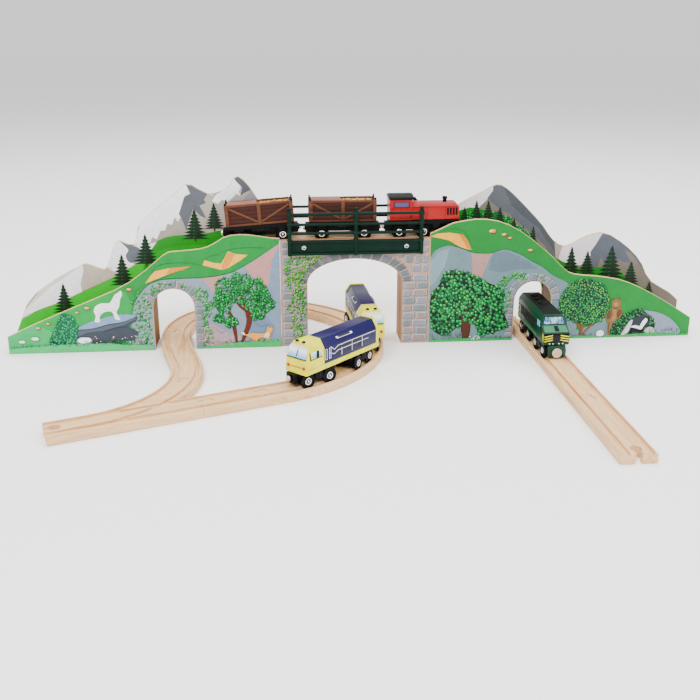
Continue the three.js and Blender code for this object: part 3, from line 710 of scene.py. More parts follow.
def decal(bm, points, plane, lift):
    """A thin closed plate on a plane: 'side' is (x, z) at y, 'front' is (y, z) at x, 'top' is (x, y) at z."""
    kind, at, out = plane
    place = {
        "side": lambda a, b: (a, at, b),
        "front": lambda a, b: (at, a, b),
        "top": lambda a, b: (a, b, at),
    }[kind]
    lifts = {"side": (0, out * lift, 0), "front": (out * lift, 0, 0), "top": (0, 0, out * lift)}
    add_prism(bm, [place(a, b) for a, b in points], lifts[kind])


def trims(name, matrix, rows):
    """Trim that rides a vehicle: what is added to its name, the mesh, the paint and the slot."""
    for suffix, bm, paint, slot in rows:
        piece(f"{name}_{suffix}", bm, paint, name, slot, matrix)


def bar(a, b, width):
    """A straight stroke between two points as a four-point outline."""
    start, end = Vector(a), Vector(b)
    along = (end - start).normalized() * width / 2
    wide = Vector((-along.y, along.x))
    return [start - along - wide, end + along - wide, end + along + wide, start - along + wide]


def rect(x0, x1, z0, z1):
    return [(x0, z0), (x1, z0), (x1, z1), (x0, z1)]


BLUE_HALF = 69
CAB_REAR = 37
WAIST = 39
BOGIE_AXLES = (-16, 16)


def blue_front(z):
    """The cab front is upright to the waist and then slopes back to the roof."""
    if z <= WAIST:
        return BLUE_HALF
    return BLUE_HALF - (z - WAIST) * 0.42


def blue_loco(name):
    rear, _ = joint_place(f"{name}_rear_bogie_swivel")
    front, _ = joint_place(f"{name}_front_bogie_swivel")
    forward = (front - rear).normalized()
    across = Vector((0, 0, 1)).cross(forward)
    turn = Matrix((forward, across, Vector((0, 0, 1)))).transposed().to_4x4()
    middle = (rear + front) / 2
    middle.z = joint_place(f"{name}_front_wheels_1_spin")[0].z - AXLE_HEIGHT / 1000
    matrix = Matrix.Translation(middle) @ turn
    full = half_section(BODY_HALF, 27.2, 48, 59, 10)
    hood = half_section(BODY_HALF - 0.5, 27.2, 47.6, 58.4, 9.7)
    skirt = half_section(BODY_HALF, UNDERSIDE, 25, 27, BODY_HALF - 0.4, 0.4)
    blue = (MAT["blue"], name, "blue_paint", matrix)
    yellow = (MAT["yellow"], name, "yellow_paint", matrix)
    shell = body_block(f"{name}_hood", hood, -BLUE_HALF + 4.6, CAB_REAR - 0.1, *blue, 0.5)
    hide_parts(f"{name}_body")
    body_block(f"{name}_tail", full, -BLUE_HALF, -BLUE_HALF + 4.5, *yellow)
    body_block(f"{name}_cab", full, CAB_REAR, blue_front, *yellow, 0.9)
    sills = body_block(f"{name}_skirt", skirt, -BLUE_HALF, BLUE_HALF, *yellow, 0.4)
    blue_windows(name, matrix)
    blue_lines(name, matrix)
    for end, toward in (("front", 1), ("rear", -1)):
        place = bogie(f"{name}_{end}")
        bore(sills, place, [((0, 0, UNDERSIDE - 2), (0, 0, 28), PIN_BORE)])
        coupler(f"{name}_{end}", f"{name}_{end}_bogie", place, toward * 32, 14.4, toward, 9)


def on_slope(outline, out=0.12):
    """Points (y, z) laid on the sloping cab front, a little way out."""
    return [(blue_front(z) + out, y, z) for y, z in outline]


def blue_windows(name, matrix):
    """Windscreen halves and the white above them, side windows, black frames, lamps and roof horns."""
    glass, black, white, amber = bmesh.new(), bmesh.new(), bmesh.new(), bmesh.new()
    for y0, y1 in ((-14.6, -0.7), (0.7, 14.6)):
        inset = [(y0, 41), (y1, 41), (y1 * 0.97, 52), (y0 * 0.97, 52)]
        add_prism(glass, on_slope(inset), (0.25, 0, 0.1))
    add_prism(black, on_slope(rect(-15.4, 15.4, 39.8, 40.9), 0.1), (0.25, 0, 0.1))
    add_prism(black, on_slope(rect(-0.6, 0.6, 43, 50), 0.4), (0.4, 0, 0.2))
    head = [(-14.8, 52.2), (14.8, 52.2), (12, 54.6), (-12, 54.6)]
    add_prism(white, on_slope(head, 0.1), (0.2, 0, 0.1))
    for side in (-1, 1):
        plane = ("side", side * (BODY_HALF + 0.04), side)
        decal(glass, rounded(rect(43, 60, 40.5, 48), 1), plane, 0.2)
        decal(black, rounded(rect(47, 51.5, 39.5, 48.2), 1.2), plane, 0.45)
        decal(black, bar((61.6, 39.2), (63.3, 47.6), 1.6), plane, 0.3)
        decal(black, bar((41.5, 39), (63, 39), 0.9), plane, 0.3)
        lamp = [(0, 2), (0.9, 1.9), (1.2, 1.2), (1.3, 0.2)]
        add_turned(amber, (BLUE_HALF - 0.2, side * 12.4, 29.5), (1, 0, 0), lamp, 20)
        horn = [(0, 2.4), (1.1, 2.4), (1.5, 1.8), (1.6, 0.3)]
        add_turned(black, (60.5, side * 5.2, 58.7), (0, 0, 1), horn, 20)
    decal(amber, bar((-8.5, 29.5), (8.5, 29.5), 0.8), ("front", BLUE_HALF, 1), 0.25)
    trims(name, matrix, (
        ("windows", glass, window_material(), "window_print"),
        ("window_frames", black, MAT["black_paint"], "black_plastic"),
        ("window_heads", white, MAT["white"], "white_paint"),
        ("lamps", amber, MAT["lamp"], "yellow_paint"),
    ))


def window_material():
    """Pale glass print that fades from sky blue at the bottom to white at the top."""
    if "window_fade" not in MAT:
        paint = Paint("window_fade", srgb("BFE0F2"), 0.2, 0.0, 0.3)
        split = paint.node("ShaderNodeSeparateXYZ")
        paint.links.new(paint.place(), split.inputs["Vector"])
        fade = paint.node("ShaderNodeMapRange", From_Min=0.048, From_Max=0.060)
        paint.links.new(split.outputs["Z"], fade.inputs["Value"])
        sky = paint.ramp(fade.outputs["Result"], [
            (0.0, srgb("6FB6E6")), (0.45, srgb("BFE2F5")), (0.8, srgb("F4F8FB")),
        ])
        streak = paint.ramp(paint.noise(paint.place(), 160, 3), [(0.4, (0.86, 0.92, 0.96)), (0.6, (1, 1, 1))])
        paint.color(paint.mix(0.7, sky, streak, "MULTIPLY"))
        MAT["window_fade"] = paint.mat
    return MAT["window_fade"]


def blue_lines(name, matrix):
    """White line work of doors, louvres and a handrail on each side of the hood, and a plate above."""
    white, grey, panel = bmesh.new(), bmesh.new(), bmesh.new()
    for side in (-1, 1):
        plane = ("side", side * (BODY_HALF - 0.46), side)
        stroke = 0.7
        for x0, x1 in ((31.5, 34.5), (24.5, 27.5)):
            edges = (((x0, 32), (x0, 45)), ((x1, 32), (x1, 45)), ((x0, 45), (x1, 45)), ((x0, 32), (x1, 32)))
            for a, b in edges:
                decal(white, bar(a, b, stroke), plane, 0.12)
        top_line = [(24.5, 46), (18, 41), (11, 44.5), (-62, 44.5)]
        low_line = [(27.5, 39), (18, 35.5), (11, 38.5), (-48, 38.5)]
        for line in (top_line, low_line):
            for a, b in zip(line, line[1:]):
                decal(white, bar(a, b, stroke), plane, 0.12)
        for x in (4, -16, -36):
            decal(white, bar((x, 31), (x, 44.5), stroke), plane, 0.1)
        for x in range(-34, 18, 4):
            decal(panel, rect(x, x + 2.8, 39.8, 43.2), plane, 0.1)
        for x in (-11, -31, 9):
            decal(panel, rect(x - 3.6, x + 3.6, 31.5, 36.8), plane, 0.1)
        slope = Vector((0, side * 10.8, 6.8)).normalized()
        normal = Vector((0, side * slope.z, abs(slope.y)))
        centre = Vector((-4, side * 13.0, 53.3)) + normal * 0.25
        run = Vector((0, -side * abs(slope.y), slope.z))
        for half, height, bm, lift in ((15, 1.9, white, 0.25), (11.5, 1.45, grey, 0.4)):
            corners = rounded(rect(-half, half, -height, height), 1.6)
            outline = [centre + Vector((dx, 0, 0)) + run * dz for dx, dz in corners]
            add_prism(bm, outline, normal * lift)
    trims(name, matrix, (
        ("line_work", white, MAT["white"], "white_paint"),
        ("plates", grey, MAT["plate"], "black_plastic"),
        ("louvres", panel, MAT["plate"], "black_plastic"),
    ))


def bogie(name):
    """A bogie frame: beam, axle boxes, side frames with springs, around the CAD frame's bores."""
    node = f"{name}_bogie"
    matrix = carriage_frame(f"{name}_wheels_2_spin", f"{name}_wheels_1_spin")
    bm = bmesh.new()
    add_box(bm, (-26, 26), (-BEAM_HALF, BEAM_HALF), (13, 20.6))
    axle_blocks(bm, BOGIE_AXLES)
    for side in (-1, 1):
        add_box(bm, (-5.4, 5.4), sorted((side * 10, side * 14)), (10, 20.4))
        add_turned(bm, (0, side * 12.4, 9.6), (0, 0, 1), [(0, 1.8), (0.8, 2.6), (7, 2.6), (8, 1.8)], 18)
    add_turned(bm, (0, 0, 20), (0, 0, 1), [(0, 3), (7, 3)], 24)
    made = bevel(piece(f"{name}_bogie_frame", bm, MAT["black"], node, "black_plastic", matrix), 0.5)
    axle_bores(made, matrix, BOGIE_AXLES)
    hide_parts(node)
    return matrix


GREEN_HALF = 62
GREEN_AXLES = (-51, -17, 17, 51)


def green_front(z):
    """Upright to the waist, then a sloping nose, then the steeper windscreen."""
    if z <= 37:
        return GREEN_HALF
    if z <= 44:
        return GREEN_HALF - (z - 37) * 13 / 7
    return GREEN_HALF - 13 - (z - 44) * 5 / 13


def green_section(width, low, top):
    points = half_section(width, low, 50, top, 12)
    extra = [(width, z) for z in (37, 44) if low < z < 50]
    return sorted(points + extra, key=lambda p: (p[1], -p[0] if p[1] > 40 else p[0]))


def green_loco():
    matrix = carriage_frame("green_loco_wheels_4_spin", "green_loco_wheels_1_spin")
    name = "green_loco"
    section = green_section(BODY_HALF, UNDERSIDE, 57)
    green = (MAT["green"], name, "green_paint", matrix)
    shell = body_block(f"{name}_shell", section, -GREEN_HALF, green_front, *green, 0.7)
    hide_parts(f"{name}_body")
    green_front_end(name, matrix)
    green_sides(name, matrix)
    chassis = bmesh.new()
    add_box(chassis, (-58, 58), (-BEAM_HALF, BEAM_HALF), (13, 20.6))
    axle_blocks(chassis, GREEN_AXLES)
    for side in (-1, 1):
        for x in (-34, 34):
            add_box(chassis, (x - 6.4, x + 6.4), sorted((side * 10, side * 14.4)), (9, 20.6))
    made = bevel(piece(f"{name}_underframe", chassis, MAT["black"], name, "black_plastic", matrix), 0.5)
    axle_bores(made, matrix, GREEN_AXLES)
    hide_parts(f"{name}_chassis")
    coupler(f"{name}_rear", name, matrix, -65, 13, -1)


def on_nose(outline, out):
    """Points (y, z) laid on the sloping nose or windscreen, a little way out."""
    lift = Vector((out, 0, out * 0.6))
    return [Vector((green_front(z), y, z)) + lift for y, z in outline]


def green_front_end(name, matrix):
    """Black front with chevrons, grille and lamps, teal nose with a vent, windscreen, coupler box."""
    teal, black, yellow, glass, grey = (bmesh.new() for _ in range(5))
    nose = [(-15.6, 37.8), (15.6, 37.8), (14.6, 43.6), (-14.6, 43.6)]
    add_prism(teal, on_nose(nose, 0.1), (0.1, 0, 0.2))
    vent = [(-1.6, 38.6), (4.2, 38.6), (3.8, 43), (-1.4, 43)]
    add_prism(black, on_nose(vent, 0.35), (0.1, 0, 0.25))
    screen = [(-14, 45.5), (14, 45.5), (11.5, 53.6), (-11.5, 53.6)]
    add_prism(glass, on_nose(screen, 0.15), (0.25, 0, 0.1))
    for y in (-5, 5):
        bar_outline = [(y - 0.4, 45.6), (y + 0.4, 45.6), (y + 0.3, 53.4), (y - 0.3, 53.4)]
        add_prism(black, on_nose(bar_outline, 0.5), (0.2, 0, 0.1))
    plane = ("front", GREEN_HALF + 0.05, 1)
    decal(black, rounded(rect(-16.4, 16.4, 24.4, 36.4), 0.8), plane, 0.25)
    decal(grey, rounded(rect(-4.8, 4.8, 25.4, 34.2), 0.6), ("front", GREEN_HALF + 0.3, 1), 0.4)
    for y in (-2.4, 0, 2.4):
        decal(black, rect(y - 0.3, y + 0.3, 26, 33.8), ("front", GREEN_HALF + 0.7, 1), 0.2)
    for side in (-1, 1):
        for z in (26, 29.2, 32.4):
            chevron = bar((side * 5.8, z + 1.6), (side * 15.6, z - 0.2), 1.25)
            decal(yellow, chevron, ("front", GREEN_HALF + 0.3, 1), 0.2)
            stripe = bar((GREEN_HALF - 0.8, z + 0.2), (GREEN_HALF - 5, z + 3.6), 1.25)
            decal(yellow, stripe, ("side", side * (BODY_HALF + 0.2), side), 0.15)
        corner = rect(GREEN_HALF - 6.4, GREEN_HALF - 0.4, 24.6, 37)
        decal(black, corner, ("side", side * (BODY_HALF + 0.04), side), 0.15)
    lamps = bmesh.new()
    for y in (-9, -4.5, 3.5, 8.5):
        add_turned(lamps, (GREEN_HALF, y, 22.7), (1, 0, 0), [(0, 0.9), (0.5, 0.8), (0.6, 0.1)], 14)
    trims(name, matrix, (
        ("nose", teal, MAT["teal"], "green_paint"),
        ("front_black", black, MAT["black_paint"], "black_plastic"),
        ("chevrons", yellow, MAT["yellow"], "yellow_paint"),
        ("windscreen", glass, windscreen_material(), "window_print"),
        ("grille", grey, MAT["plate"], "black_plastic"),
        ("lamps", lamps, MAT["white"], "white_paint"),
    ))
    box = bmesh.new()
    add_prism(box, [(57, p.x, p.y) for p in rounded(rect(-11.1, 11.1, 4.6, 20.8), 2.6)], (9.5, 0, 0))
    bevel(piece(f"{name}_coupler_box", box, MAT["green"], name, "green_paint", matrix), 1.1, 3)
    ring_part = bmesh.new()
    profile = [(0, 6.4), (1.6, 6.4), (2.2, 5.9), (2.2, 4.7), (1.6, 4.3), (1.5, 0.2)]
    add_turned(ring_part, (66.3, 0, 11.5), (1, 0, 0), profile, 40)
    piece(f"{name}_front_magnet", ring_part, MAT["magnet"], name, "bright_metal", matrix)


def windscreen_material():
    if "windscreen" not in MAT:
        paint = Paint("windscreen", srgb("7FA7B5"), 0.15, 0.0, 0.4)
        tone = paint.noise(paint.place((1, 1, 0.4)), 190, 4, 0.6, 0.6)
        stops = [
            (0.32, srgb("3E6A7C")), (0.47, srgb("7D9FC0")), (0.58, srgb("C9DDE3")), (0.72, srgb("5C8C92")),
        ]
        paint.color(paint.ramp(tone, stops))
        MAT["windscreen"] = paint.mat
    return MAT["windscreen"]


def green_sides(name, matrix):
    """Black roof with three fans, side windows, a teal band, louvres and rear corner stripes."""
    roof, glass, yellow, black, teal = (bmesh.new() for _ in range(5))
    decal(roof, rounded(rect(-GREEN_HALF + 1.5, 42.5, -11.6, 11.6), 1), ("top", 57.04, 1), 0.3)
    fan = [(0, 6), (0.8, 5.9), (1.2, 5.2), (1.25, 3.2), (0.7, 2.8), (0.7, 0.3)]
    for x in (-44, -26, -8):
        add_turned(roof, (x, 0, 57.2), (0, 0, 1), fan, 28)
    for side in (-1, 1):
        plane = ("side", side * (BODY_HALF + 0.04), side)
        decal(glass, rounded(rect(31, 35.5, 39.5, 47.5), 0.8), plane, 0.2)
        decal(glass, rounded(rect(37.5, 42, 39.5, 47.5), 0.8), plane, 0.2)
        decal(teal, rect(-GREEN_HALF + 7, 29, 23.5, 26), plane, 0.1)
        for i in range(9):
            decal(black, rect(-48 + 8.6 * i, -42 + 8.6 * i, 30, 44), plane, 0.12)
        for i in range(4):
            z = 24 + 6.4 * i
            decal(yellow, bar((-GREEN_HALF + 0.8, z), (-GREEN_HALF + 5, z + 3.4), 1.4), plane, 0.15)
            decal(black, bar((-GREEN_HALF + 0.8, z + 2.9), (-GREEN_HALF + 5, z + 6.2), 1.4), plane, 0.15)
    trims(name, matrix, (
        ("roof", roof, MAT["black_paint"], "black_plastic"),
        ("side_windows", glass, MAT["window"], "window_print"),
        ("band", teal, MAT["teal"], "green_paint"),
        ("louvres", black, MAT["black_paint"], "black_plastic"),
        ("corner_stripes", yellow, MAT["yellow"], "yellow_paint"),
    ))


RED_AXLES = (-34, 0, 34)


def red_loco():
    name = "red_loco"
    matrix = carriage_frame("red_loco_wheels_rear_spin", "red_loco_wheels_front_spin")
    base = CHASSIS_TOP + 0.3
    hood = half_section(14.4, base, 45.6, 50, 10)
    red = (MAT["red"], name, "red_paint", matrix)
    shell = body_block(f"{name}_hood", hood, -16.4, lambda z: 48.5 - max(z - 44, 0) * 0.7, *red, 0.7)
    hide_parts(f"{name}_body")
    cab = half_section(16, base, 55, 58, 13)
    body_block(f"{name}_cab", cab, -47.5, -16.6, *red, 0.6)
    red_roof(name, matrix)
    red_details(name, matrix)
    chassis = bmesh.new()
    add_box(chassis, (-47.5, 47.5), (-16, 16), (21.8, CHASSIS_TOP))
    add_box(chassis, (-41, 41), (-BEAM_HALF, BEAM_HALF), (13, 23))
    axle_blocks(chassis, RED_AXLES)
    for side in (-1, 1):
        for x in (-17, 17):
            add_box(chassis, (x - 5, x + 5), sorted((side * 14.8, side * 16.2)), (15, 22))
    made = bevel(piece(f"{name}_underframe", chassis, MAT["black"], name, "black_plastic", matrix), 0.5)
    axle_bores(made, matrix, RED_AXLES)
    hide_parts(f"{name}_chassis")
    for end, toward in (("rear", -1), ("front", 1)):
        coupler(f"{name}_{end}", name, matrix, toward * 52, 17, toward, 12)


def red_roof(name, matrix):
    """An arched black roof that overhangs the cab a little."""
    outline = []
    steps = 16
    for i in range(steps + 1):
        turn = math.pi * i / steps
        outline.append((-48.4, 17 * math.cos(turn), 55.4 + 6.4 * math.sin(turn) ** 0.8))
    roof = bmesh.new()
    add_prism(roof, outline, (33.4, 0, 0))
    bevel(piece(f"{name}_roof", roof, MAT["black_paint"], name, "black_plastic", matrix), 0.5, 3, 40)


def red_details(name, matrix):
    """Exhaust stack, horn, grilles, windows, and painted shadow lines at the door and hood seams."""
    black, glass, seam_shadow, surround = (bmesh.new() for _ in range(4))
    stack = [(0, 2.7), (3.4, 2.7), (3.6, 3.4), (7, 3.4), (7.3, 3), (7.3, 1.8), (5.5, 1.6), (5.5, 0.2)]
    add_turned(black, (30.5, 0, 49.6), (0, 0, 1), stack, 28)
    add_rod(black, (-16, 0, 54), (-13.4, 0, 54), 1.5)
    add_ball(black, (-11.8, 0, 54), 2.7, 24, 14)
    for side in (-1, 1):
        hood_plane = ("side", side * 14.42, side)
        cab_plane = ("side", side * 16.02, side)
        for i in range(4):
            decal(black, rounded(rect(31.5 + 4 * i, 34 + 4 * i, 33.5, 43.5), 0.5), hood_plane, 0.25)
        decal(surround, rounded(rect(-42.5, -20.5, 44.4, 52.6), 1), cab_plane, 0.12)
        decal(glass, rounded(rect(-41, -22, 45.6, 51.6), 0.8), cab_plane, 0.3)
        # Thin dark red lines, painted as the shade in the hood seam and the door joints.
        decal(seam_shadow, bar((-15.5, 44.6), (46, 44.6), 0.6), hood_plane, 0.12)
        for x in (4, 29):
            decal(seam_shadow, bar((x, 28), (x, 44), 0.6), hood_plane, 0.12)
        decal(seam_shadow, bar((-32, 28), (-32, 43.5), 0.5), cab_plane, 0.12)
        add_turned(black, (-18.5, side * 16, 33), (0, side, 0), [(0, 1), (0.8, 0.9), (0.9, 0.2)], 14)
    for i in range(4):
        decal(black, rounded(rect(-9.4 + 5 * i, -5.6 + 5 * i, 31, 42), 0.5), ("front", 48.54, 1), 0.25)
    trims(name, matrix, (
        ("black_trim", black, MAT["black_paint"], "black_plastic"),
        ("windows", glass, MAT["window_blue"], "window_print"),
        ("window_frames", surround, MAT["frame_red"], "red_paint"),
        ("seam_shadows", seam_shadow, MAT["seam_shadow_red"], "red_paint"),
    ))


# ---------------------------------------------------------------- tracks
def tracks():
    """The CAD tracks stay and get beech whose grain follows each piece's own direction."""
    for name in frame["nodes"]:
        if not name.endswith(("_track", "_long", "_short")) and "curve_track" not in name:
            continue
        low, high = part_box(name)
        turn = TRACK_GRAIN.get(name, math.pi / 2 if high[1] - low[1] > 2 * (high[0] - low[0]) else 0)
        finish_node(name, wood(f"beech_{name}", BEECH_LIGHT, BEECH_DARK, turn), 0.5)


TRACK_GRAIN = {
    "turnout_track": math.radians(20.5),
    "short_straight_track": math.radians(20.5),
    "curve_track_1": math.radians(50),
    "curve_track_2": math.radians(115),
    "curve_track_3": math.radians(177),
    "curve_track_4": math.radians(240),
    "s_bend_track": math.radians(95),
}


# ---------------------------------------------------------------- scenery
def scenery():
    for name in frame["nodes"]:
        # The blocks get the darker wood, which is painted shade for the tunnels' insides.
        if "block" in name:
            finish_node(name, MAT["block"], 0.3)
        elif name.endswith(("hill_front", "hill_back")):
            finish_node(name, MAT["birch"], 0.4)
    finish_node("arch_bridge", MAT["timber"], 0.4)
    railings()


POSTS = (-95, -5.5, 84)


def railings():
    """The two cast railings with their boards, pipes and posts, and the screws on the front one."""
    span, pipes = (-98, 87), (161, 173, 187)
    collar = [(0, 2.5), (0.5, 3), (6.3, 3), (6.8, 2.5)]
    finial = [
        (0, 2.6), (1, 3.3), (2, 3.3), (2.6, 2.2), (3.2, 2.2), (4, 2.9), (5.2, 3), (6.2, 2.2), (6.6, 0.6),
    ]
    for node, face, out in (("front_railing", 0, -1), ("back_railing", SCENERY_DEPTH, 1)):
        bm = bmesh.new()

        def layer(near, far):
            return sorted((face + out * near, face + out * far))

        add_box(bm, span, layer(0.3, 3.3), (131, 151))
        add_box(bm, span, layer(1, 6), (131, 134))
        add_box(bm, span, layer(1, 6), (148, 151))
        add_box(bm, span, layer(1, 4.2), (139.6, 142.4))
        rail_y = face + out * 3.6
        for z in pipes:
            add_rod(bm, (span[0], rail_y, z), (span[1], rail_y, z), 1.9, 20)
        for x in POSTS:
            add_rod(bm, (x, rail_y, 130), (x, rail_y, 192), 2.6, 24)
            add_turned(bm, (x, rail_y, 189.4), (0, 0, 1), finial, 24)
            for z in pipes:
                add_turned(bm, (x - 3.4, rail_y, z), (1, 0, 0), collar, 20)
            add_turned(bm, (x, rail_y, 151), (0, 0, 1), [(0, 3.6), (1.2, 3.6), (2.4, 2.4)], 24)
        made = bevel(piece(f"{node}_casting", bm, MAT["rail_green"], "layout", "green_plastic"), 0.5)
        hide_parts(node)
    for node, x in (("railing_screw_left", -76), ("railing_screw_right", 64)):
        bm = bmesh.new()
        profile = [
            (0, 3.5), (0.8, 3.5), (1.2, 3.1), (1.9, 2.6), (2.4, 1.9), (2.4, 1.5), (1.2, 1.4), (1.2, 0.1),
        ]
        add_turned(bm, (x, -3.6, 141), (0, -1, 0), profile, 36)
        made = piece(f"{node}_head", bm, MAT["hub"], "layout", "bright_metal")
        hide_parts(node)
        socket = bmesh.new()
        add_turned(socket, (x, -4.9, 141), (0, -1, 0), [(0, 1.36), (0.5, 1.36), (0.55, 0.1)], 6)
        piece(f"{node}_socket", socket, MAT["black"], "layout", "black_plastic")


# ---------------------------------------------------------------- printed pictures
# The step between two printed layers, in millimetres, and how uneven a spot is.
STEP = 0.015
UNEVEN = 0.12


def inside(point, outline):
    """Whether a point (x, z) lies inside a closed outline."""
    x, z = point
    hit = False
    for (x0, z0), (x1, z1) in zip(outline, outline[1:] + outline[:1]):
        if (z0 > z) != (z1 > z) and x < x0 + (z - z0) * (x1 - x0) / (z1 - z0):
            hit = not hit
    return hit


def area(outline):
    return sum(a[0] * b[1] - b[0] * a[1] for a, b in zip(outline, outline[1:] + outline[:1])) / 2


def between(p0, p1, p2, p3, steps):
    """Points of a Catmull-Rom curve from p1 up to, but without, p2."""
    made = []
    for k in range(steps):
        t = k / steps
        bend = (2 * p0 - 5 * p1 + 4 * p2 - p3) * t * t
        twist = (3 * p1 - p0 - 3 * p2 + p3) * t ** 3
        made.append(0.5 * (2 * p1 + (p2 - p0) * t + bend + twist))
    return made


def soft(points, steps=5):
    """A closed Catmull-Rom curve through a few points."""
    made = []
    count = len(points)
    for i in range(count):
        four = (Vector(points[(i + k) % count]) for k in (-1, 0, 1, 2))
        made += [tuple(p) for p in between(*four, steps)]
    return made


def open_curve(points):
    """An open Catmull-Rom curve through a few points."""
    ends = [points[0], *points, points[-1]]
    made = []
    for i in range(1, len(ends) - 2):
        four = (Vector(ends[i + k]) for k in (-1, 0, 1, 2))
        made += between(*four, 6)
    return made + [Vector(points[-1])]


def ribbon(points, width):
    """The outline of a brush stroke that thins towards both ends."""
    line = open_curve(points)
    left, right = [], []
    for i, here in enumerate(line):
        along = (line[min(i + 1, len(line) - 1)] - line[max(i - 1, 0)]).normalized()
        half = width / 2 * (0.35 + 0.65 * math.sin(math.pi * (i + 0.5) / len(line)))
        side = Vector((-along.y, along.x)) * half
        left.append(tuple(here + side))
        right.append(tuple(here - side))
    return left + right[::-1]


def blob(x, z, width, height, rng, sides=9):
    """A slightly irregular rounded spot."""
    made = []
    for i in range(sides):
        turn = 2 * math.pi * i / sides
        reach = 1 + rng.uniform(-UNEVEN, UNEVEN)
        made.append((x + width / 2 * reach * math.cos(turn), z + height / 2 * reach * math.sin(turn)))
    return made


def front_outline(node, inset):
    """The outline of a board's front face along X and Z in millimetres, drawn in a little, and its Y."""
    mesh = frame["nodes"][node].data
    flat = [face for face in mesh.polygons if face.normal.y < -0.999]
    front = min(face.center.y for face in flat)
    spot = [tuple(round(c * 1000, 3) for c in (vert.co.x, vert.co.z)) for vert in mesh.vertices]
    sides = {}
    for face in flat:
        if face.center.y < front + 0.0001:
            ids = list(face.vertices)
            for a, b in zip(ids, ids[1:] + ids[:1]):
                if sides.pop((spot[b], spot[a]), None) is None:
                    sides[(spot[a], spot[b])] = True
    follow = dict(sides.keys())
    start = next(iter(follow))
    loop = [start]
    while follow[loop[-1]] != start:
        loop.append(follow[loop[-1]])
    if area(loop) < 0:
        loop.reverse()
    return drawn_in(loop, inset), front * 1000 - FRONT_Y


def drawn_in(loop, inset):
    """A closed counter-clockwise outline moved inwards, without points that lie almost in line."""
    made = []
    for i, point in enumerate(loop):
        here = Vector(point)
        before = (here - Vector(loop[i - 1])).normalized()
        after = (Vector(loop[(i + 1) % len(loop)]) - here).normalized()
        inward = Vector((-before.y - after.y, before.x + after.x))
        if inward.length > 0.3:
            inward = inward.normalized()
            lean = max(inward.dot(Vector((-before.y, before.x))), 0.4)
            made.append(tuple(here + inward * inset / lean))
    return made


class Picture:
    """A picture printed on a board's front face, built up in thin layers of colour."""

    def __init__(self, node, slot, inset=0.45):
        self.node, self.slot = node, slot
        self.edge, self.plane = front_outline(node, inset)
        self.inks = {}
        self.layer = 0

    def sheet(self, color):
        if color not in self.inks:
            self.inks[color] = bmesh.new()
        return self.inks[color]

    def next_layer(self, count=1):
        self.layer += count

    def plate(self, color, points, faces, over=0):
        """A closed plate of one layer's thickness over flat faces that share points."""
        bm = self.sheet(color)
        near = self.plane - STEP * (self.layer + over) - 0.01
        front = [bm.verts.new((x, near - STEP, z)) for x, z in points]
        back = [bm.verts.new((x, near, z)) for x, z in points]
        rim = {}
        for face in faces:
            bm.faces.new([front[i] for i in face])
            bm.faces.new([back[i] for i in reversed(face)])
            for a, b in zip(face, face[1:] + face[:1]):
                if rim.pop((b, a), None) is None:
                    rim[(a, b)] = True
        for a, b in rim:
            bm.faces.new((front[b], front[a], back[a], back[b]))

    def region(self, color, outline, over=None):
        """A colour area, cut to the board, on a new layer or a few layers over the current one."""
        outline = list(outline)
        if area(outline) < 0:
            outline.reverse()
        points = [Vector(p) for p in self.edge + outline]
        split = len(self.edge)
        loops = [list(range(split)), list(range(split, len(points)))]
        verts, _, faces, _, _, source = delaunay_2d_cdt(points, [], loops, 1, 1e-5)
        kept = [list(face) for face, of in zip(faces, source) if 0 in of and 1 in of]
        used = sorted({i for face in kept for i in face})
        index = {old: new for new, old in enumerate(used)}
        faces = [[index[i] for i in face] for face in kept]
        if over is None:
            self.next_layer()
        self.plate(color, [tuple(verts[i]) for i in used], faces, over or 0)

    def fill(self, color):
        self.region(color, self.edge)

    def spot(self, color, outline):
        """A small area on the current layer; it is left out where it would cross the board's edge."""
        if all(inside(p, self.edge) for p in outline):
            points = list(outline)
            if area(points) < 0:
                points.reverse()
            self.plate(color, points, [list(range(len(points)))])

    def stroke(self, color, points, width):
        self.region(color, ribbon(points, width))

    def strokes(self, color, width, *lines):
        for line in lines:
            self.stroke(color, line, width)

    def finish(self):
        for color, bm in self.inks.items():
            name = f"{self.node}_print_{color}"
            piece(name, bm, ink(color), "layout", self.slot, smooth=False)


def star(x, z, size, turn, points=5, depth=0.55):
    """A small leaf cluster with lobes."""
    made = []
    for i in range(points * 2):
        reach = size * (1 if i % 2 == 0 else depth)
        angle = turn + math.pi * i / points
        made.append((x + reach * math.cos(angle), z + reach * math.sin(angle)))
    return made


def fir(picture, x, foot, height, width, tiers=8):
    """A fir in three greens: its silhouette, lit branches on the left and a short trunk."""
    right = []
    for i in range(tiers):
        z = foot + height * (1 - (i + 1) / tiers)
        reach = width * 0.58 * (i + 1) / tiers
        right += [(x + reach * 0.42, z + height / tiers * 0.55), (x + reach, z - height * 0.012)]
    outline = [(x, foot + height)] + right + [(x - (px - x), z) for px, z in reversed(right)]
    trunk = [(x - 1.2, foot - 4), (x + 1.2, foot - 4), (x + 1, foot + 3), (x - 1, foot + 3)]
    picture.region(TRUNK, trunk)
    picture.region(FIR_DARK, outline)
    picture.next_layer()
    for i in range(1, tiers):
        z = foot + height * (1 - (i + 0.8) / tiers)
        reach = width / 2 * i / tiers
        for side, color in ((-1, FIR_LIT), (1, FIR_MID)):
            for k in (0.35, 0.75):
                tip = x + side * reach * k
                lift = height / tiers * 0.5
                back = (tip - side * reach * 0.34, z + lift * 0.4)
                picture.spot(color, [(tip, z), (tip - side * reach * 0.28, z + lift), back])


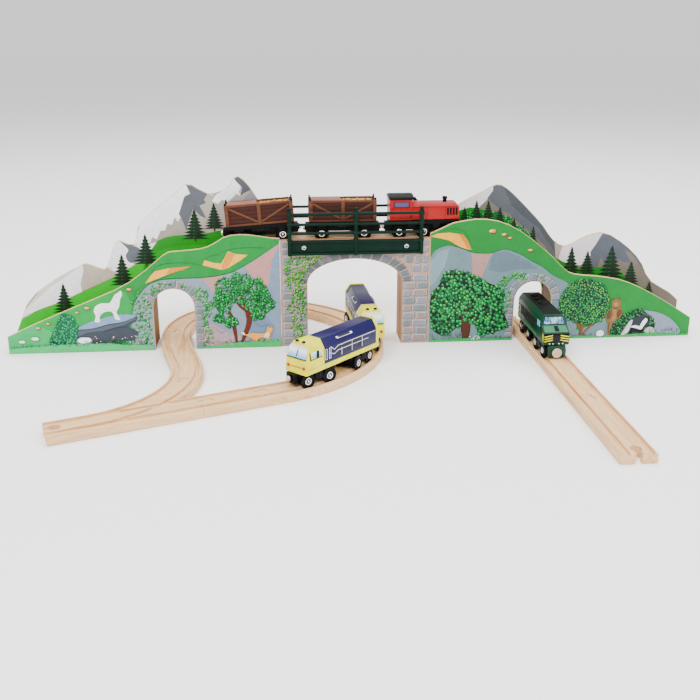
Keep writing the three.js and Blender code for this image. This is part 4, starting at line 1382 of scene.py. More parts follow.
def scatter(outline, count, rng):
    """Seeded points inside an outline, kept a little apart."""
    xs, zs = [p[0] for p in outline], [p[1] for p in outline]
    made = []
    tries = 0
    gap = 0.72 * math.sqrt(abs(area(outline)) / count)
    while len(made) < count and tries < count * 30:
        tries += 1
        point = (rng.uniform(min(xs), max(xs)), rng.uniform(min(zs), max(zs)))
        clear = all((point[0] - p[0]) ** 2 + (point[1] - p[1]) ** 2 > gap ** 2 for p in made)
        if clear and inside(point, outline):
            made.append(point)
    return made


def foliage(picture, outline, count, size, colors, seed):
    """Leaf clusters over an area: a dark rim, a body colour and a lit centre for each."""
    rng = random.Random(seed)
    rim, bodies, lights = colors
    spots = scatter(outline, count, rng)
    turns = [rng.uniform(0, 6.3) for _ in spots]
    sizes = [size * rng.uniform(0.75, 1.2) for _ in spots]
    picture.next_layer()
    for (x, z), turn, reach in zip(spots, turns, sizes):
        picture.spot(rim, star(x + 0.25, z - 0.35, reach * 1.22, turn))
    picture.next_layer()
    for (x, z), turn, reach in zip(spots, turns, sizes):
        picture.spot(rng.choice(bodies), star(x, z, reach, turn))
    picture.next_layer()
    for (x, z), turn, reach in zip(spots, turns, sizes):
        if rng.random() < 0.75:
            light = rng.choice(lights)
            picture.spot(light, star(x - reach * 0.2, z + reach * 0.25, reach * 0.52, turn, 3, 0.5))


def tufts(picture, x0, x1, level, count, seed, tall=5.0, colors=("2C7A55", "3B5D4A")):
    """Blades of grass along a line."""
    rng = random.Random(seed)
    picture.next_layer()
    for _ in range(count):
        x, lean, height = rng.uniform(x0, x1), rng.uniform(-1.6, 1.6), rng.uniform(0.4, 1) * tall
        z = level + rng.uniform(-1.6, 1.6)
        picture.spot(rng.choice(colors), [(x - 0.35, z), (x + 0.35, z), (x + lean, z + height)])


def petals(picture, x0, x1, z0, z1, count, seed, colors=("F4F1EE", "E9A0A4")):
    rng = random.Random(seed)
    picture.next_layer()
    for _ in range(count):
        spot = blob(rng.uniform(x0, x1), rng.uniform(z0, z1), 1.5, 1.3, rng, 6)
        picture.spot(rng.choice(colors), spot)


def pebble(picture, x, z, width, light="E6B38C", dark="8E5E42"):
    """A small lit rock on the grass with a shaded underside."""
    rng = random.Random(int(x * 7 + z))
    picture.region(dark, blob(x + 0.5, z - 0.6, width * 1.12, width * 0.62, rng, 8), 1)
    picture.region(light, blob(x, z, width, width * 0.5, rng, 8), 2)
    picture.region("F6E3D2", blob(x - width * 0.12, z + width * 0.06, width * 0.5, width * 0.2, rng, 6), 3)


def block_stone(picture, outline, tone=0, tones=None):
    """One dressed stone in the three layers over the current one: a dark joint, a lit edge, the stone."""
    cx = sum(p[0] for p in outline) / len(outline)
    cz = sum(p[1] for p in outline) / len(outline)
    tones = tones or STONE_TONES
    dark, body, lit = tones[tone % len(tones)]

    def scaled(factor, dx=0.0, dz=0.0):
        return [(cx + (x - cx) * factor + dx, cz + (z - cz) * factor + dz) for x, z in outline]

    picture.region(dark, soft(scaled(1.0, 0.15, -0.15), 3), 1)
    picture.region(lit, soft(scaled(0.9, -0.1, 0.15), 3), 2)
    picture.region(body, soft(scaled(0.8, 0.2, -0.25), 3), 3)


def box_stone(x0, x1, z0, z1, rng):
    """A roughly rectangular stone outline with softened corners."""
    nick = min(x1 - x0, z1 - z0) * 0.24
    points = [
        (x0 + nick, z0), (x1 - nick, z0), (x1, z0 + nick), (x1, z1 - nick),
        (x1 - nick, z1), (x0 + nick, z1), (x0, z1 - nick), (x0, z0 + nick),
    ]
    return [(x + rng.uniform(-0.35, 0.35), z + rng.uniform(-0.35, 0.35)) for x, z in points]


def voussoirs(picture, centre, spring, half, rise, depth, count, seed, tones=None):
    """Wedge stones around an elliptical arch."""
    rng = random.Random(seed)
    for i in range(count):
        a0, a1 = (math.pi * (i + e) / count for e in (0.07, 0.93))

        def at(angle, out):
            return (centre + (half + out) * math.cos(angle), spring + (rise + out) * math.sin(angle))

        low, high = 1.2, depth + rng.uniform(-0.8, 0.8)
        middle = (a0 + a1) / 2
        outline = [at(a0, low), at(middle, low), at(a1, low), at(a1, high), at(middle, high), at(a0, high)]
        block_stone(picture, outline, i, tones)


TRUNK = "5A3B28"
FIR_DARK = "123B27"
FIR_MID = "1C5236"
FIR_LIT = "357C50"
STONE_TONES = (("6A6C70", "9B9DA3", "C4C4C8"), ("6C686A", "A09A9B", "CAC2C0"), ("5E6366", "8C9396", "B6BBBC"))
ARCH_TONES = (("55585B", "7C8084", "B0A9A6"), ("57585C", "86888C", "B5AEAB"), ("505356", "74787B", "A8A3A0"))
TREE_LEAVES = ("0C4430", ("12905A", "1DA468", "0F7A4C"), ("5CCB92", "86DBA0", "34B478"))
IVY_LEAVES = ("2C5A3E", ("4CA063", "63B476", "2F8A55"), ("B9E0A8", "8FCF94"))


def tunnel_surround(picture, centre, half, spring, rise, count, left_stones, right_stones, seed):
    """Arch stones and the upright stones of a tunnel mouth."""
    voussoirs(picture, centre, spring, half, rise, 11.5, count, seed)
    rng = random.Random(seed + 1)
    for side, stones in ((-1, left_stones), (1, right_stones)):
        if not stones:
            continue
        low, pitch = 3.5, (spring - 4) / stones
        for i in range(stones):
            inner = centre + side * (half + 1.2)
            outer = centre + side * (half + 10.4 + rng.uniform(-1, 1.2))
            x0, x1 = sorted((inner, outer))
            z = low + i * pitch
            block_stone(picture, box_stone(x0, x1, z + 0.5, z + pitch - 0.6, rng), i)
    picture.next_layer(3)


def shadowed(picture, shadow, color, shape, drop):
    """A soft figure over its own shadow, which falls a little to the right and down."""
    picture.region(shadow, soft([(x + drop, z - 0.5) for x, z in shape], 4))
    picture.region(color, soft(shape, 4))


def left_front_picture():
    picture = Picture("left_hill_front", "hill_print")
    picture.fill("009E62")
    picture.region("3DAE6E", [
        (-490, -5), (-490, 60), (-440, 60), (-400, 72), (-345, 92), (-318, 84), (-306, 50), (-300, -5),
    ])
    picture.region("58B986", [
        (-490, -5), (-490, 50), (-452, 46), (-428, 34), (-404, 20), (-380, 8), (-330, -5),
    ])
    picture.strokes(
        "0E8243", 1.1,
        [(-314, 53), (-307, 67), (-304, 75), (-306, 83), (-294, 92), (-286, 98)],
        [(-284, 104), (-277, 116), (-268, 121), (-250, 123), (-229, 122), (-212, 118)],
        [(-188, 136), (-171, 141), (-147, 142), (-126, 141)],
    )
    sand_patches(picture)
    left_cliff(picture)
    tunnel_surround(picture, -255, 28, 60, 27, 11, 0, 6, 11)
    foliage(picture, [(-310, 74), (-300, 84), (-284, 70), (-285, 6), (-312, 6)], 62, 2.5, IVY_LEAVES, 21)
    foliage(picture, [(-286, 78), (-262, 90), (-262, 99), (-284, 92), (-296, 80)], 16, 2.2, IVY_LEAVES, 22)
    foliage(picture, [
        (-262, 90), (-240, 86), (-214, 90), (-196, 60), (-212, 40), (-202, 16), (-216, 3), (-216, 60),
        (-232, 88), (-262, 100),
    ], 58, 2.3, IVY_LEAVES, 23)
    wolf_rock(picture)
    left_tree(picture)
    fox(picture)
    teal_bush(picture)
    picture.region("68C492", [
        (-490, -5), (-490, 5), (-470, 8), (-422, 11), (-371, 12), (-345, 12), (-325, 9), (-288, 8),
        (-280, -5),
    ])
    picture.region("5BBB83", [
        (-226, -5), (-226, 2), (-196, 5), (-170, 8), (-133, 10), (-100, 11), (-100, -5),
    ])
    tufts(picture, -478, -290, 9, 90, 31)
    tufts(picture, -372, -300, 12, 70, 32, 8)
    tufts(picture, -222, -112, 8, 70, 33)
    petals(picture, -366, -292, 12, 22, 26, 34, ("D98C90", "F1E4DD", "8A8FA0"))
    petals(picture, -222, -176, 5, 16, 16, 35)
    for x, z, w in ((-438, 36, 6.5), (-424, 42, 5.5), (-371, 63, 7.5), (-384, 57, 5), (-313, 88, 7)):
        pebble(picture, x, z, w)
    for x, z, w in ((-461, 17, 8), (-443, 21, 10)):
        pebble(picture, x, z, w, "F6F3F2", "7FA08E")
    picture.next_layer(3)
    white_rock(picture, -378, 17, 20)
    picture.finish()


def sand_patches(picture):
    """Sandy ledges on the hill with a lit and a shaded part."""
    picture.region("F2CC7C", [
        (-291, 95), (-283, 106), (-277, 112), (-257, 116), (-229, 118), (-238, 113), (-255, 109),
        (-273, 102), (-286, 97),
    ])
    picture.region("D9AC64", [(-262, 108), (-257, 116), (-229, 118), (-238, 113), (-253, 109)])
    picture.stroke("0E8243", [(-292, 94), (-273, 101), (-255, 108), (-229, 117)], 0.9)
    picture.region("F2CC7C", [
        (-213, 119), (-210, 126), (-198, 122), (-188, 121), (-183, 129), (-178, 138), (-169, 134),
        (-152, 132), (-163, 124), (-180, 114), (-188, 112),
    ])
    picture.region("DFB46A", [(-187, 112), (-185, 122), (-177, 137), (-169, 134), (-174, 124), (-180, 114)])
    picture.stroke("C98F4A", [(-187, 112), (-185, 121), (-177, 137)], 0.8)
    picture.stroke("0E8243", [(-210, 127), (-200, 132), (-189, 133)], 0.9)


def left_cliff(picture):
    crest = [
        (-312, 46), (-309, 62), (-303, 75), (-290, 91), (-273, 99), (-255, 101), (-213, 102), (-188, 105),
        (-171, 110), (-147, 123), (-130, 134), (-104, 151),
    ]
    picture.region("9EA9B2", [tuple(p) for p in open_curve(crest)] + [(-100, -5), (-316, -5)])
    picture.region("9AA7B6", [(-128, 126), (-112, 142), (-104, 146), (-104, -5), (-132, -5), (-124, 60)])
    picture.region("C6A8A6", [(-216, 102), (-199, 80), (-193, 90), (-186, 105)])
    picture.region("C6A8A6", [
        (-156, 116), (-130, 133), (-107, 148), (-113, 138), (-119, 126), (-125, 92), (-131, 78),
        (-136, 94), (-150, 104),
    ])
    picture.region("B9A9AE", [
        (-222, 30), (-204, 36), (-190, 26), (-172, 20), (-160, 12), (-190, 4), (-222, 4),
    ])
    picture.region("8F9CAD", [(-158, 40), (-146, 48), (-128, 44), (-118, 30), (-122, 14), (-150, 12)])
    picture.stroke("1E6E48", crest, 1.2)
    picture.strokes(
        "5B7F99", 0.8,
        [(-128, 58), (-122, 54), (-118, 56)], [(-146, 36), (-136, 30), (-126, 33)],
        [(-200, 30), (-192, 22), (-184, 26)], [(-212, 60), (-206, 52), (-208, 44)],
    )


def wolf_rock(picture):
    """A white wolf that stands on an overhanging grey-blue rock."""
    picture.region("5A6068", [
        (-400, 8), (-392, 22), (-383, 32), (-345, 40), (-309, 50), (-304, 48), (-306, 43), (-318, 35),
        (-304, 27), (-310, 15), (-366, 10),
    ])
    picture.region("6E757C", [
        (-393, 20), (-383, 33), (-345, 41), (-309, 50), (-306, 45), (-325, 37), (-352, 30), (-372, 28),
    ])
    picture.region("9DB0C2", soft([
        (-385, 33), (-375, 40), (-358, 46), (-337, 51), (-319, 52.5), (-307, 50), (-312, 46), (-325, 42),
        (-345, 39), (-364, 34),
    ]))
    picture.stroke("3F4856", [(-386, 31), (-364, 33), (-345, 38), (-325, 41), (-307, 49)], 0.9)
    picture.stroke("3F4856", [(-352, 27), (-335, 33), (-314, 35)], 1.0)
    shape = [
        (-324, 86), (-327, 84), (-333, 80), (-337, 73), (-341, 69), (-351, 69), (-359, 65), (-362, 58),
        (-360, 51), (-362, 43), (-355, 43), (-355, 51), (-347, 57), (-339, 57), (-336, 52), (-334, 46),
        (-328, 46), (-332, 56),
        (-328, 64), (-326, 74), (-323, 80),
    ]
    shadowed(picture, "B9C2CC", "F7F6F6", shape, 0.4)
    picture.strokes(
        "C9CBD3", 0.8,
        [(-352, 62), (-346, 60), (-340, 62)], [(-334, 72), (-331, 66), (-333, 62)],
        [(-357, 58), (-353, 53), (-356, 48)], [(-336, 62), (-333, 57)],
    )
    picture.next_layer()
    picture.spot("3A3D44", [(-327.4, 82.2), (-326.4, 82.2), (-326.6, 81.2)])


def white_rock(picture, x, z, width):
    rng = random.Random(5)
    picture.region("7E8793", blob(x, z - 1, width * 1.1, width * 0.5, rng, 9))
    picture.region("F4F2F3", blob(x, z, width * 0.95, width * 0.46, rng, 9))
    picture.region("C9C7CF", blob(x + 3, z - 2, width * 0.4, width * 0.16, rng, 7))


def left_tree(picture):
    """A spreading leafy tree with two trunks beside the tunnel."""
    for line, width in (
        ([(-165, 6), (-158, 22), (-153, 40), (-157, 60), (-163, 78)], 6.5),
        ([(-171, 6), (-173, 24), (-176, 42), (-180, 54)], 4.5),
        ([(-155, 44), (-146, 54), (-140, 62)], 2.6),
        ([(-156, 52), (-166, 62), (-172, 74)], 2.6),
    ):
        picture.stroke("4A2E20", line, width + 1)
        picture.stroke("7B4A34", line, width)
    rng = random.Random(40)
    lobes = (
        (-183, 88, 15), (-163, 94, 16), (-143, 84, 16), (-131, 62, 12), (-146, 62, 13), (-187, 62, 12),
        (-190, 74, 10), (-168, 76, 14), (-142, 48, 9), (-178, 38, 9), (-194, 44, 7), (-134, 76, 12),
    )
    for x, z, reach in lobes:
        outline = blob(x, z, reach * 2, reach * 1.8, rng, 12)
        foliage(picture, outline, int(reach * 2.7), 2.6, TREE_LEAVES, int(x * 3 + z))


def fox(picture):
    shape = [
        (-164, 22), (-158, 19), (-150, 21), (-140, 20), (-131, 21), (-129, 26), (-127, 31), (-125, 28),
        (-122, 29), (-121, 24),
        (-124, 20), (-126, 16), (-124, 8), (-127, 8), (-131, 14), (-140, 13), (-142, 8), (-146, 8),
        (-149, 13), (-154, 15),
    ]
    shadowed(picture, "8A4B1E", "F2C460", shape, 0.3)
    picture.region("FBE3C0", soft([(-131, 20), (-127, 22), (-125, 17), (-130, 14), (-134, 15)], 3))
    picture.region("FBEBD8", soft([(-165, 23), (-161, 22), (-159, 19), (-162, 19)], 3))
    for x in (-146, -141, -127, -133):
        picture.stroke("2E2A2A", [(x, 12), (x + 0.6, 8), (x + 1.6, 6.5)], 1.4)


def teal_bush(picture):
    outline = soft([
        (-404, 56), (-411, 45), (-418, 31), (-424, 14), (-404, 10), (-384, 12), (-387, 26), (-386, 38),
        (-392, 50),
    ])
    picture.region("127A5E", outline)
    picture.region("123F3A", [(-426, 10), (-420, 17), (-410, 14), (-404, 16), (-398, 10)])
    leaves = ("0E5C4C", ("159070", "1FA783", "128063"), ("5FD0AC", "35BB93"))
    foliage(picture, outline, 95, 2.1, leaves, 51)


def left_back_picture():
    picture = Picture("left_hill_back", "mountain_print")
    picture.fill("F1F1F5")
    picture.region("BDB8B0", [
        (-384, 122), (-376, 118), (-352, 108), (-334, 98), (-320, 80), (-384, 60), (-387, 84), (-381, 104),
    ])
    picture.region("DCD9D4", ribbon([(-474, 44), (-457, 62), (-432, 84), (-399, 105), (-384, 114)], 11))
    picture.region("7C8087", soft([
        (-328, 144), (-312, 138), (-302, 133), (-298, 122), (-306, 114), (-318, 114), (-322, 124),
        (-318, 132),
    ], 3))
    picture.region("C8BDB8", [(-306, 114), (-298, 124), (-288, 130), (-284, 110), (-312, 104)])
    picture.region("B8B4AD", [
        (-240, 150), (-236, 178), (-222, 214), (-199, 206), (-178, 216), (-165, 226), (-150, 216),
        (-120, 180), (-120, 140),
    ])
    snow_left = [
        (-234, 223), (-231, 209), (-237, 204), (-240, 190), (-244, 180), (-247, 170), (-252, 176),
        (-256, 166), (-262, 168), (-266, 158), (-272, 158), (-278, 146), (-286, 150), (-290, 140),
        (-312, 142), (-306, 166), (-284, 192), (-258, 212),
    ]
    picture.region("AFABA5", [(-262, 172), (-250, 177), (-241, 174), (-232, 150), (-288, 140), (-280, 158)])
    picture.region("F8F8FA", snow_left)
    picture.region("777A7F", [
        (-235, 224), (-216, 218), (-206, 208), (-211, 200), (-208, 196), (-217, 192), (-213, 184),
        (-209, 174), (-217, 178), (-226, 188), (-233, 170), (-237, 158), (-240, 168), (-246, 181),
        (-237, 205), (-229, 209),
    ])
    snow_right = [
        (-170, 236), (-160, 218), (-163, 210), (-159, 204), (-166, 208), (-172, 202), (-179, 196),
        (-186, 200), (-192, 194), (-200, 198), (-190, 212),
    ]
    picture.region("F8F8FA", snow_right)
    picture.region("70737A", [
        (-172, 236), (-154, 229), (-143, 214), (-131, 194), (-141, 197), (-147, 192), (-157, 196),
        (-146, 213), (-157, 208), (-161, 204), (-158, 216), (-167, 226),
    ])
    picture.region("A3A4A8", [(-158, 198), (-146, 212), (-138, 200), (-148, 190)])
    picture.strokes(
        "8A857E", 1.0,
        [(-237, 221), (-217, 216), (-200, 208), (-185, 213), (-170, 232)],
        [(-236, 221), (-262, 205), (-284, 190), (-300, 166), (-308, 144)],
        [(-170, 232), (-152, 226), (-136, 203), (-126, 186)],
        [(-384, 114), (-376, 116), (-356, 109), (-342, 105)],
        [(-325, 143), (-314, 139), (-306, 138)],
        [(-399, 105), (-432, 86), (-460, 58), (-474, 36)],
    )
    hills(picture)
    for x, foot, height, width in (
        (-411, 44, 42, 32), (-328, 82, 44, 34), (-294, 112, 42, 34), (-225, 146, 42, 34),
        (-198, 160, 36, 28),
    ):
        fir(picture, x, foot, height, width, 9)
    picture.finish()


def hills(picture):
    """The band of lighter green slopes at the foot of the mountains."""
    picture.region("4ABE4C", [
        (-490, -5), (-481, 14), (-474, 34), (-449, 47), (-416, 59), (-383, 74), (-339, 94), (-314, 108),
        (-299, 118), (-287, 130), (-260, 120), (-240, 60), (-240, -5),
    ])
    picture.region("369E44", [
        (-296, 116), (-286, 132), (-277, 144), (-265, 149), (-251, 151), (-226, 152), (-205, 154),
        (-186, 158), (-150, 160), (-100, 160), (-100, 100), (-300, 100),
    ])
    picture.region("3AA84A", [
        (-290, 112), (-276, 130), (-240, 138), (-200, 136), (-150, 142), (-100, 140), (-100, 90),
        (-300, 90),
    ])
    picture.stroke("8C7A3E", [
        (-480, 20), (-474, 34), (-449, 47), (-416, 59), (-383, 74), (-339, 94), (-300, 117),
    ], 0.7)


def right_front_picture():
    picture = Picture("right_hill_front", "hill_print")
    picture.fill("009256")
    picture.region("0C9658", [(330, -5), (346, 60), (372, 78), (410, 82), (450, 50), (490, 30), (490, -5)])
    crest = [
        (92, 118), (98, 125), (105, 134), (116, 139), (126, 140), (142, 135), (159, 129), (181, 128),
        (192, 131), (204, 133), (223, 126), (240, 116), (258, 106), (272, 95), (293, 84), (302, 74),
    ]
    picture.region("008C56", [(92, 112), (98, 152), (116, 148), (126, 141), (110, 138), (100, 128)])
    picture.region("87989C", [tuple(p) for p in open_curve(crest)] + [(312, 40), (312, -5), (90, -5)])
    picture.region("97A6AA", [(98, 118), (110, 132), (124, 136), (118, 110), (106, 90), (96, 80)])
    picture.region("B39E99", [(155, 129), (184, 128), (178, 112), (170, 90), (164, 78), (158, 96)])
    picture.region("7D8B92", [
        (186, 128), (204, 131), (236, 116), (250, 104), (222, 104), (196, 100), (180, 104),
    ])
    picture.stroke("2B6E4B", crest, 1.1)
    picture.region("E6C068", [
        (97, 153), (107, 157), (123, 158), (142, 155), (149, 147), (155, 133), (146, 135), (136, 139),
        (123, 147), (111, 150),
    ])
    picture.region("CCA04C", [(136, 156), (142, 155), (149, 147), (155, 133), (148, 136), (144, 144)])
    picture.stroke("0F8040", [(97, 152), (111, 149), (123, 146), (136, 138), (155, 132)], 0.9)
    picture.stroke("0F8040", [(107, 158), (126, 163), (142, 160), (151, 148), (158, 134)], 0.9)
    for x, z, w in ((183, 159, 11), (200, 154, 8), (208, 149, 6), (238, 131, 8)):
        pebble(picture, x, z, w, "D99A72", "5E4630")
    picture.next_layer(3)
    tunnel_surround(picture, 246, 27, 58, 28, 11, 6, 0, 61)
    foliage(picture, [
        (198, 80), (214, 92), (236, 88), (232, 100), (212, 98), (196, 90),
    ], 26, 2.4, IVY_LEAVES, 62)
    foliage(picture, [(192, 84), (206, 84), (214, 66), (208, 40), (198, 50)], 22, 2.4, IVY_LEAVES, 63)
    foliage(picture, [(252, 88), (262, 86), (260, 94), (250, 95)], 4, 2, IVY_LEAVES, 64)
    big_tree(picture)
    picture.region("87989C", [(296, 4), (312, 12), (330, 18), (342, 26), (352, 31), (357, 20), (360, 2)])
    round_tree(picture)
    bear(picture)
    picture.region("9CA3AF", soft([
        (404, 38), (422, 38), (440, 32), (456, 21), (466, 4), (430, 3), (416, 18),
    ], 4))
    hedge(picture)
    skunk(picture)
    picture.region("4FB279", [(90, -5), (90, 3), (136, 5), (175, 4), (220, 3), (220, -5)])
    picture.region("4FB279", [
        (290, -5), (296, 3), (330, 4), (370, 3), (426, 6), (460, 3), (490, 3), (490, -5),
    ])
    tufts(picture, 102, 216, 4, 80, 71)
    tufts(picture, 100, 150, 8, 40, 72, 10, ("8A8F9C", "5E6E6A", "3E7E55"))
    tufts(picture, 300, 474, 4, 90, 73)
    tufts(picture, 420, 468, 8, 34, 74, 7)
    petals(picture, 156, 172, 3, 8, 16, 75, ("F6F4F4", "FFFFFF"))
    picture.region("5C6A66", blob(348, 6, 15, 11, random.Random(3), 9))
    picture.region("E9E8EC", blob(347.5, 7, 13, 9.5, random.Random(4), 9))
    picture.finish()


BUSH_LEAVES = ("0E1F20", ("1C8A5C", "27A070", "157350"), ("8ADB6E", "52C890", "46B880"))


def big_tree(picture):
    """A broad dark tree with a short trunk at the left of the tunnel."""
    crown = [
        (119, 102), (131, 105), (145, 102), (160, 97), (172, 90), (184, 84), (198, 78), (203, 64),
        (200, 52), (207, 36),
        (211, 20), (190, 12), (171, 9), (166, 22), (158, 28), (150, 30), (142, 24), (128, 13), (117, 10),
        (104, 18),
        (100, 34), (99, 60), (103, 74), (112, 86),
    ]
    picture.region("182B2A", soft(crown, 3))
    picture.stroke("3A241A", [(151, 2), (151, 22), (150, 44)], 14)
    picture.stroke("6A4632", [(151, 2), (151, 22), (150, 44)], 11.5)
    picture.strokes(
        "5A3B2B", 4,
        [(151, 30), (140, 44), (132, 56)], [(152, 32), (164, 46), (174, 54)],
        [(150, 40), (152, 60), (146, 74)],
    )
    foliage(picture, soft(crown, 3), 330, 3.2, BUSH_LEAVES, 81)


ROUND_LEAVES = ("0F3A38", ("1B6B57", "23805F", "2F8F5C"), ("B6D65A", "8CCB6A", "5CB48A"))


def round_tree(picture):
    """A ball-shaped tree on several thin stems."""
    for line, width in (
        ([(318, 3), (316, 18), (300, 34)], 3), ([(318, 3), (319, 20), (312, 36)], 3),
        ([(319, 3), (322, 20), (330, 34)], 3), ([(320, 3), (330, 16), (346, 28)], 2.6),
    ):
        picture.stroke("5E4430", line, width + 0.8)
        picture.stroke("94724E", line, width - 0.4)
    crown = soft([
        (322, 88), (302, 83), (288, 68), (284, 50), (292, 34), (308, 25), (326, 21), (344, 24), (357, 38),
        (358, 56), (348, 76), (336, 84),
    ], 4)
    picture.region("123A38", crown)
    foliage(picture, crown, 330, 2.3, ROUND_LEAVES, 82)


def bear(picture):
    shape = [
        (367, 58), (362, 55), (361, 49), (363, 45), (358, 41), (354, 34), (354, 28), (357, 24), (357, 14),
        (358, 4), (366, 4), (366, 16),
        (371, 22), (374, 28), (377, 33), (378, 40), (374, 45), (375, 50), (373, 56),
    ]
    ears = random.Random(8)
    for x in (362.6, 371.4):
        picture.region("6E5E48", blob(x, 57, 4.2, 4.2, ears, 8))
    shadowed(picture, "54443A", "96805E", shape, 0.5)
    picture.region("B49C76", soft([(367, 53), (364.5, 51), (366, 47), (370, 48), (370, 52)], 4))
    picture.region("A88E6A", soft([(363, 40), (366, 42), (370, 38), (369, 28), (365, 24), (362, 32)], 4))
    picture.region("74604A", soft([(356, 38), (360, 41), (361, 33), (357, 27), (355, 31)], 4))
    picture.region("74604A", soft([(374, 42), (377, 39), (376, 34), (372, 30), (371, 36)], 4))
    for line, width in (
        ([(361, 42), (363, 34), (358, 27)], 1.1), ([(373, 43), (370, 36), (372, 29)], 1.1),
        ([(366, 24), (364, 14), (363, 5)], 1.3), ([(360, 24), (359, 15), (360, 6)], 0.9),
        ([(363, 45), (367, 43.5), (372, 45)], 1.0),
    ):
        picture.stroke("483A30", line, width)
    picture.next_layer()
    rng = random.Random(9)
    for x, z in ((365.6, 52.4), (369.6, 52.4), (367.6, 49.6)):
        picture.spot("2B1A10", blob(x, z, 1.0, 1.0, rng, 6))


def hedge(picture):
    outline = soft([
        (362, 5), (367, 22), (380, 33), (394, 40), (403, 42), (412, 37), (424, 26), (428, 14), (418, 12),
        (396, 6), (380, 2),
    ], 4)
    picture.region("2A3438", outline)
    leaves = ("14302B", ("1F7A52", "2A9160", "196A4A"), ("7CCB7E", "4FB27A"))
    foliage(picture, outline, 120, 2.1, leaves, 83)


def skunk(picture):
    """A skunk with a bushy pale tail, in front of the hedge."""
    picture.region("4A4E57", soft([
        (378, 4), (384, 16), (392, 28), (402, 30), (410, 34), (418, 30), (420, 22), (414, 14), (408, 8),
        (394, 4),
    ], 4))
    picture.region("D9DADF", soft([(379, 3), (383, 12), (390, 24), (394, 25), (392, 16), (388, 6)], 4))
    picture.region("121315", soft([
        (391, 12), (397, 17), (404, 15), (407, 21), (410, 27), (415, 30), (419, 26), (416, 20), (412, 12),
        (409, 3), (404, 3), (402, 7), (397, 7), (395, 3), (391, 3),
    ], 4))
    picture.region("F4F4F6", soft([
        (392, 15), (398, 17.5), (405, 16), (407, 20), (410, 25), (414, 28), (416, 24), (412, 17),
        (408, 11), (400, 13),
    ], 4))
    picture.region("C9C3C6", soft([(413, 8), (418, 14), (425, 13), (428, 6), (420, 4)], 4))
    rng = random.Random(84)
    picture.next_layer()
    for i in range(12):
        x, z = 380 + i * 1.1, 4 + i * 1.9
        picture.spot("8E9199", [(x, z), (x + 0.7, z), (x - 2.5 + rng.random(), z + 4)])


def right_back_picture():
    picture = Picture("right_hill_back", "mountain_print")
    picture.fill("86827A")
    picture.region("D9D7DA", [
        (90, 150), (90, 190), (142, 190), (196, 220), (192, 207), (184, 194), (170, 180), (150, 160),
    ])
    picture.region("6E7277", [
        (190, 222), (212, 220), (230, 200), (256, 176), (276, 154), (290, 134), (294, 108), (284, 112),
        (271, 128), (252, 146), (235, 158), (217, 174), (205, 180), (192, 190), (185, 197), (193, 208),
    ])
    picture.region("62666B", [
        (206, 216), (228, 198), (254, 173), (272, 152), (288, 130), (291, 112), (276, 132), (262, 152),
        (238, 170), (220, 186),
    ])
    picture.region("ADA8A0", [(286, 134), (294, 132), (304, 128), (308, 118), (300, 104), (290, 106)])
    picture.region("DAD8DC", [
        (300, 130), (318, 136), (330, 142), (342, 142), (360, 148), (358, 138), (350, 130), (345, 122),
        (343, 112), (336, 104), (328, 96), (300, 100), (294, 108),
    ])
    picture.region("71757C", [
        (358, 146), (372, 144), (388, 132), (404, 118), (422, 92), (412, 95), (404, 100), (394, 99),
        (384, 104), (374, 99), (366, 90), (358, 108), (352, 92), (342, 92), (341, 116), (349, 129),
    ])
    picture.region("8A8683", [(392, 118), (404, 112), (418, 94), (404, 98)])
    picture.strokes(
        "7B746C", 1.0,
        [(142, 189), (168, 203), (192, 216), (208, 215)],
        [(208, 215), (232, 193), (256, 170), (276, 148), (288, 130)],
        [(302, 127), (317, 136), (329, 141), (339, 141), (357, 145), (371, 140)],
        [(371, 140), (388, 128), (404, 112), (419, 92), (430, 76)],
        [(430, 76), (446, 69), (463, 58), (479, 42)],
    )
    picture.region("2E8E42", [
        (90, 150), (140, 178), (160, 184), (178, 181), (192, 177), (210, 172), (222, 163), (240, 150),
        (262, 131), (289, 108), (304, 101), (316, 92), (340, 92), (362, 93), (386, 88), (396, 78),
        (418, 64), (440, 52), (490, 20), (490, -5), (90, -5),
    ])
    picture.region("237C3C", [
        (90, 140), (150, 166), (190, 166), (230, 146), (280, 102), (330, 84), (390, 76), (440, 44),
        (490, 10), (490, -5), (90, -5),
    ])
    rng = random.Random(90)
    for x, z in ((160, 172), (176, 170), (195, 172), (214, 164), (230, 152), (242, 142)):
        foliage(picture, blob(x, z, 18, 12, rng, 10), 14, 2.4, TREE_LEAVES, int(x + z))
    small = (
        (153, 160, 25, 17), (170, 164, 30, 20), (187, 163, 31, 20), (204, 160, 24, 19), (225, 148, 20, 15),
        (254, 126, 30, 16),
    )
    for x, foot, height, width in small + (
        (313, 84, 41, 27), (337, 84, 34, 25), (373, 77, 48, 38), (404, 66, 35, 26), (434, 50, 20, 15),
    ):
        fir(picture, x, foot, height, width, 8)
    picture.finish()


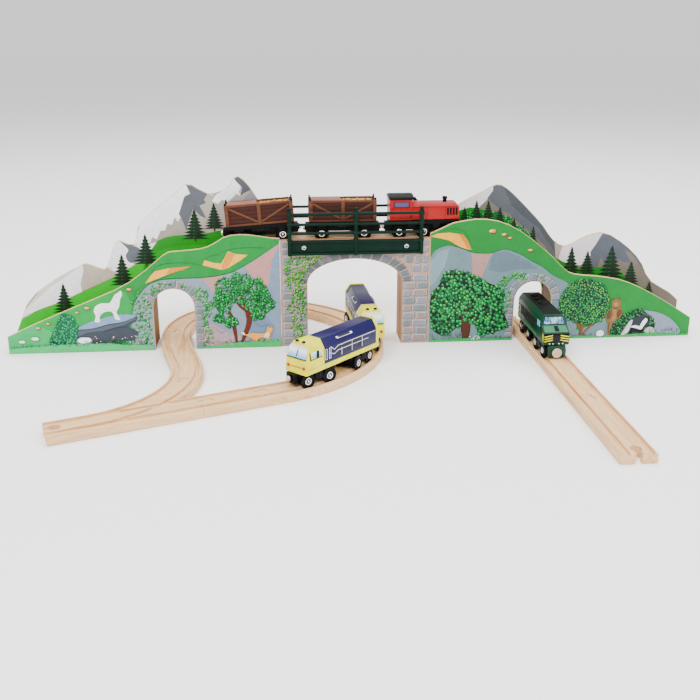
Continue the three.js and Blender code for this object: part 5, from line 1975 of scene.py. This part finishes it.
def bridge_picture():
    """Rubble stonework with an arch of dressed stones, and ivy on the left leg."""
    picture = Picture("arch_bridge", "stone_print", 0.3)
    picture.fill("BAA69D")
    rng = random.Random(100)
    left, right = -6.5 - 65.5, -6.5 + 65.5
    pitch = 10.9
    for row in range(9):
        z0, z1 = 3 + row * pitch, 3 + (row + 1) * pitch - 1.4
        wide, narrow = (17, 12) if row % 2 else (11, 17)
        block_stone(picture, box_stone(right + 3 + wide, 95, z0 + 0.3, z1, rng), row + 1)
        block_stone(picture, box_stone(-106.5, left - 3 - narrow, z0 + 0.3, z1, rng), row + 2)
        if row < 8:
            block_stone(picture, box_stone(right + 1.6, right + 1.6 + wide, z0, z1, rng), row)
            block_stone(picture, box_stone(left - 1.6 - narrow, left - 1.6, z0, z1, rng), row)
    for x0, x1, z0, z1 in (
        (62, 74, 117, 127), (76, 86, 116, 128), (87, 95, 104, 114), (72, 85, 104, 114), (87, 95, 116, 128),
        (52, 61, 124, 129),
        (88, 95, 131, 139), (88, 95, 141, 149), (-106.5, -98.6, 131, 139), (-106.5, -98.6, 141, 149),
        (-106, -92, 117, 128), (-90, -78, 118, 128),
        (-106, -94, 104, 115), (-92, -82, 106, 116), (-76, -66, 122, 129),
    ):
        block_stone(picture, box_stone(x0, x1, z0, z1, rng), int(x0))
    voussoirs(picture, -6.5, 90, 65.5, 34, 12.5, 15, 101, ARCH_TONES)
    picture.next_layer(3)
    foliage(picture, [
        (-105, 112), (-96, 128), (-48, 129), (-60, 122), (-72, 108), (-84, 96), (-104, 92),
    ], 64, 2.2, VINE_LEAVES, 102)
    foliage(picture, [
        (-104, 98), (-78, 104), (-76, 84), (-82, 66), (-88, 76), (-98, 84),
    ], 32, 2.2, VINE_LEAVES, 103)
    foliage(picture, [
        (-92, 78), (-76, 84), (-74, 52), (-80, 30), (-96, 26), (-92, 44), (-102, 52),
    ], 50, 2.2, VINE_LEAVES, 104)
    foliage(picture, [(-94, 26), (-78, 32), (-76, 14), (-84, 6), (-92, 10)], 18, 2.1, VINE_LEAVES, 105)
    picture.finish()


VINE_LEAVES = ("2F5A33", ("4C9E46", "60B052", "3A8740"), ("A9D67A", "84C66A", "CFE0A0"))


def pictures():
    left_front_picture()
    left_back_picture()
    right_front_picture()
    right_back_picture()
    bridge_picture()


# ---------------------------------------------------------------- stage
def stage():
    bm = bmesh.new()
    bmesh.ops.create_grid(bm, x_segments=2, y_segments=2, size=30)
    mesh = bpy.data.meshes.new("floor")
    bm.to_mesh(mesh)
    bm.free()
    floor = bpy.data.objects.new("floor", mesh)
    floor.location = (0, 0, -0.0002)
    bpy.context.collection.objects.link(floor)
    mesh.materials.append(Paint("floor_white", (0.97, 0.97, 0.97), 0.7).mat)


def area_light(name, location, target, size, power):
    data = bpy.data.lights.new(name, "AREA")
    data.energy = power
    data.size = size
    light = bpy.data.objects.new(name, data)
    light.location = location
    light.rotation_euler = (Vector(target) - Vector(location)).to_track_quat("-Z", "Y").to_euler()
    bpy.context.collection.objects.link(light)


def studio():
    world_data = bpy.data.worlds.new("studio")
    bpy.context.scene.world = world_data
    world_data.use_nodes = True
    background = world_data.node_tree.nodes["Background"]
    background.inputs["Color"].default_value = (1, 1, 1, 1)
    background.inputs["Strength"].default_value = 1.1
    target = (0, 0.05, 0.05)
    area_light("key", (-0.9, -2.0, 2.2), target, 1.2, 95)
    area_light("fill", (1.9, -1.2, 1.3), target, 1.6, 32)
    area_light("top", (0.2, 0.7, 2.4), target, 2.6, 90)


def camera():
    data = bpy.data.cameras.new("camera")
    data.sensor_width = 36
    data.lens = 44.31
    data.shift_y = -0.06
    data.clip_start = 0.05
    data.clip_end = 60
    cam = bpy.data.objects.new("camera", data)
    cam.location = world(-108.3, -1141.2, 405.8)
    cam.rotation_euler = (math.radians(90 - 17.098), 0, -math.radians(4.76))
    bpy.context.collection.objects.link(cam)
    bpy.context.scene.camera = cam


camera()
studio()
stage()
tracks()
scenery()
pictures()
wagon("wagon_1")
wagon("wagon_2")
red_loco()
blue_loco("blue_loco_a")
blue_loco("blue_loco_b")
green_loco()
for node_name in [n for n in frame["nodes"] if "_wheels" in n]:
    wheelset(node_name)
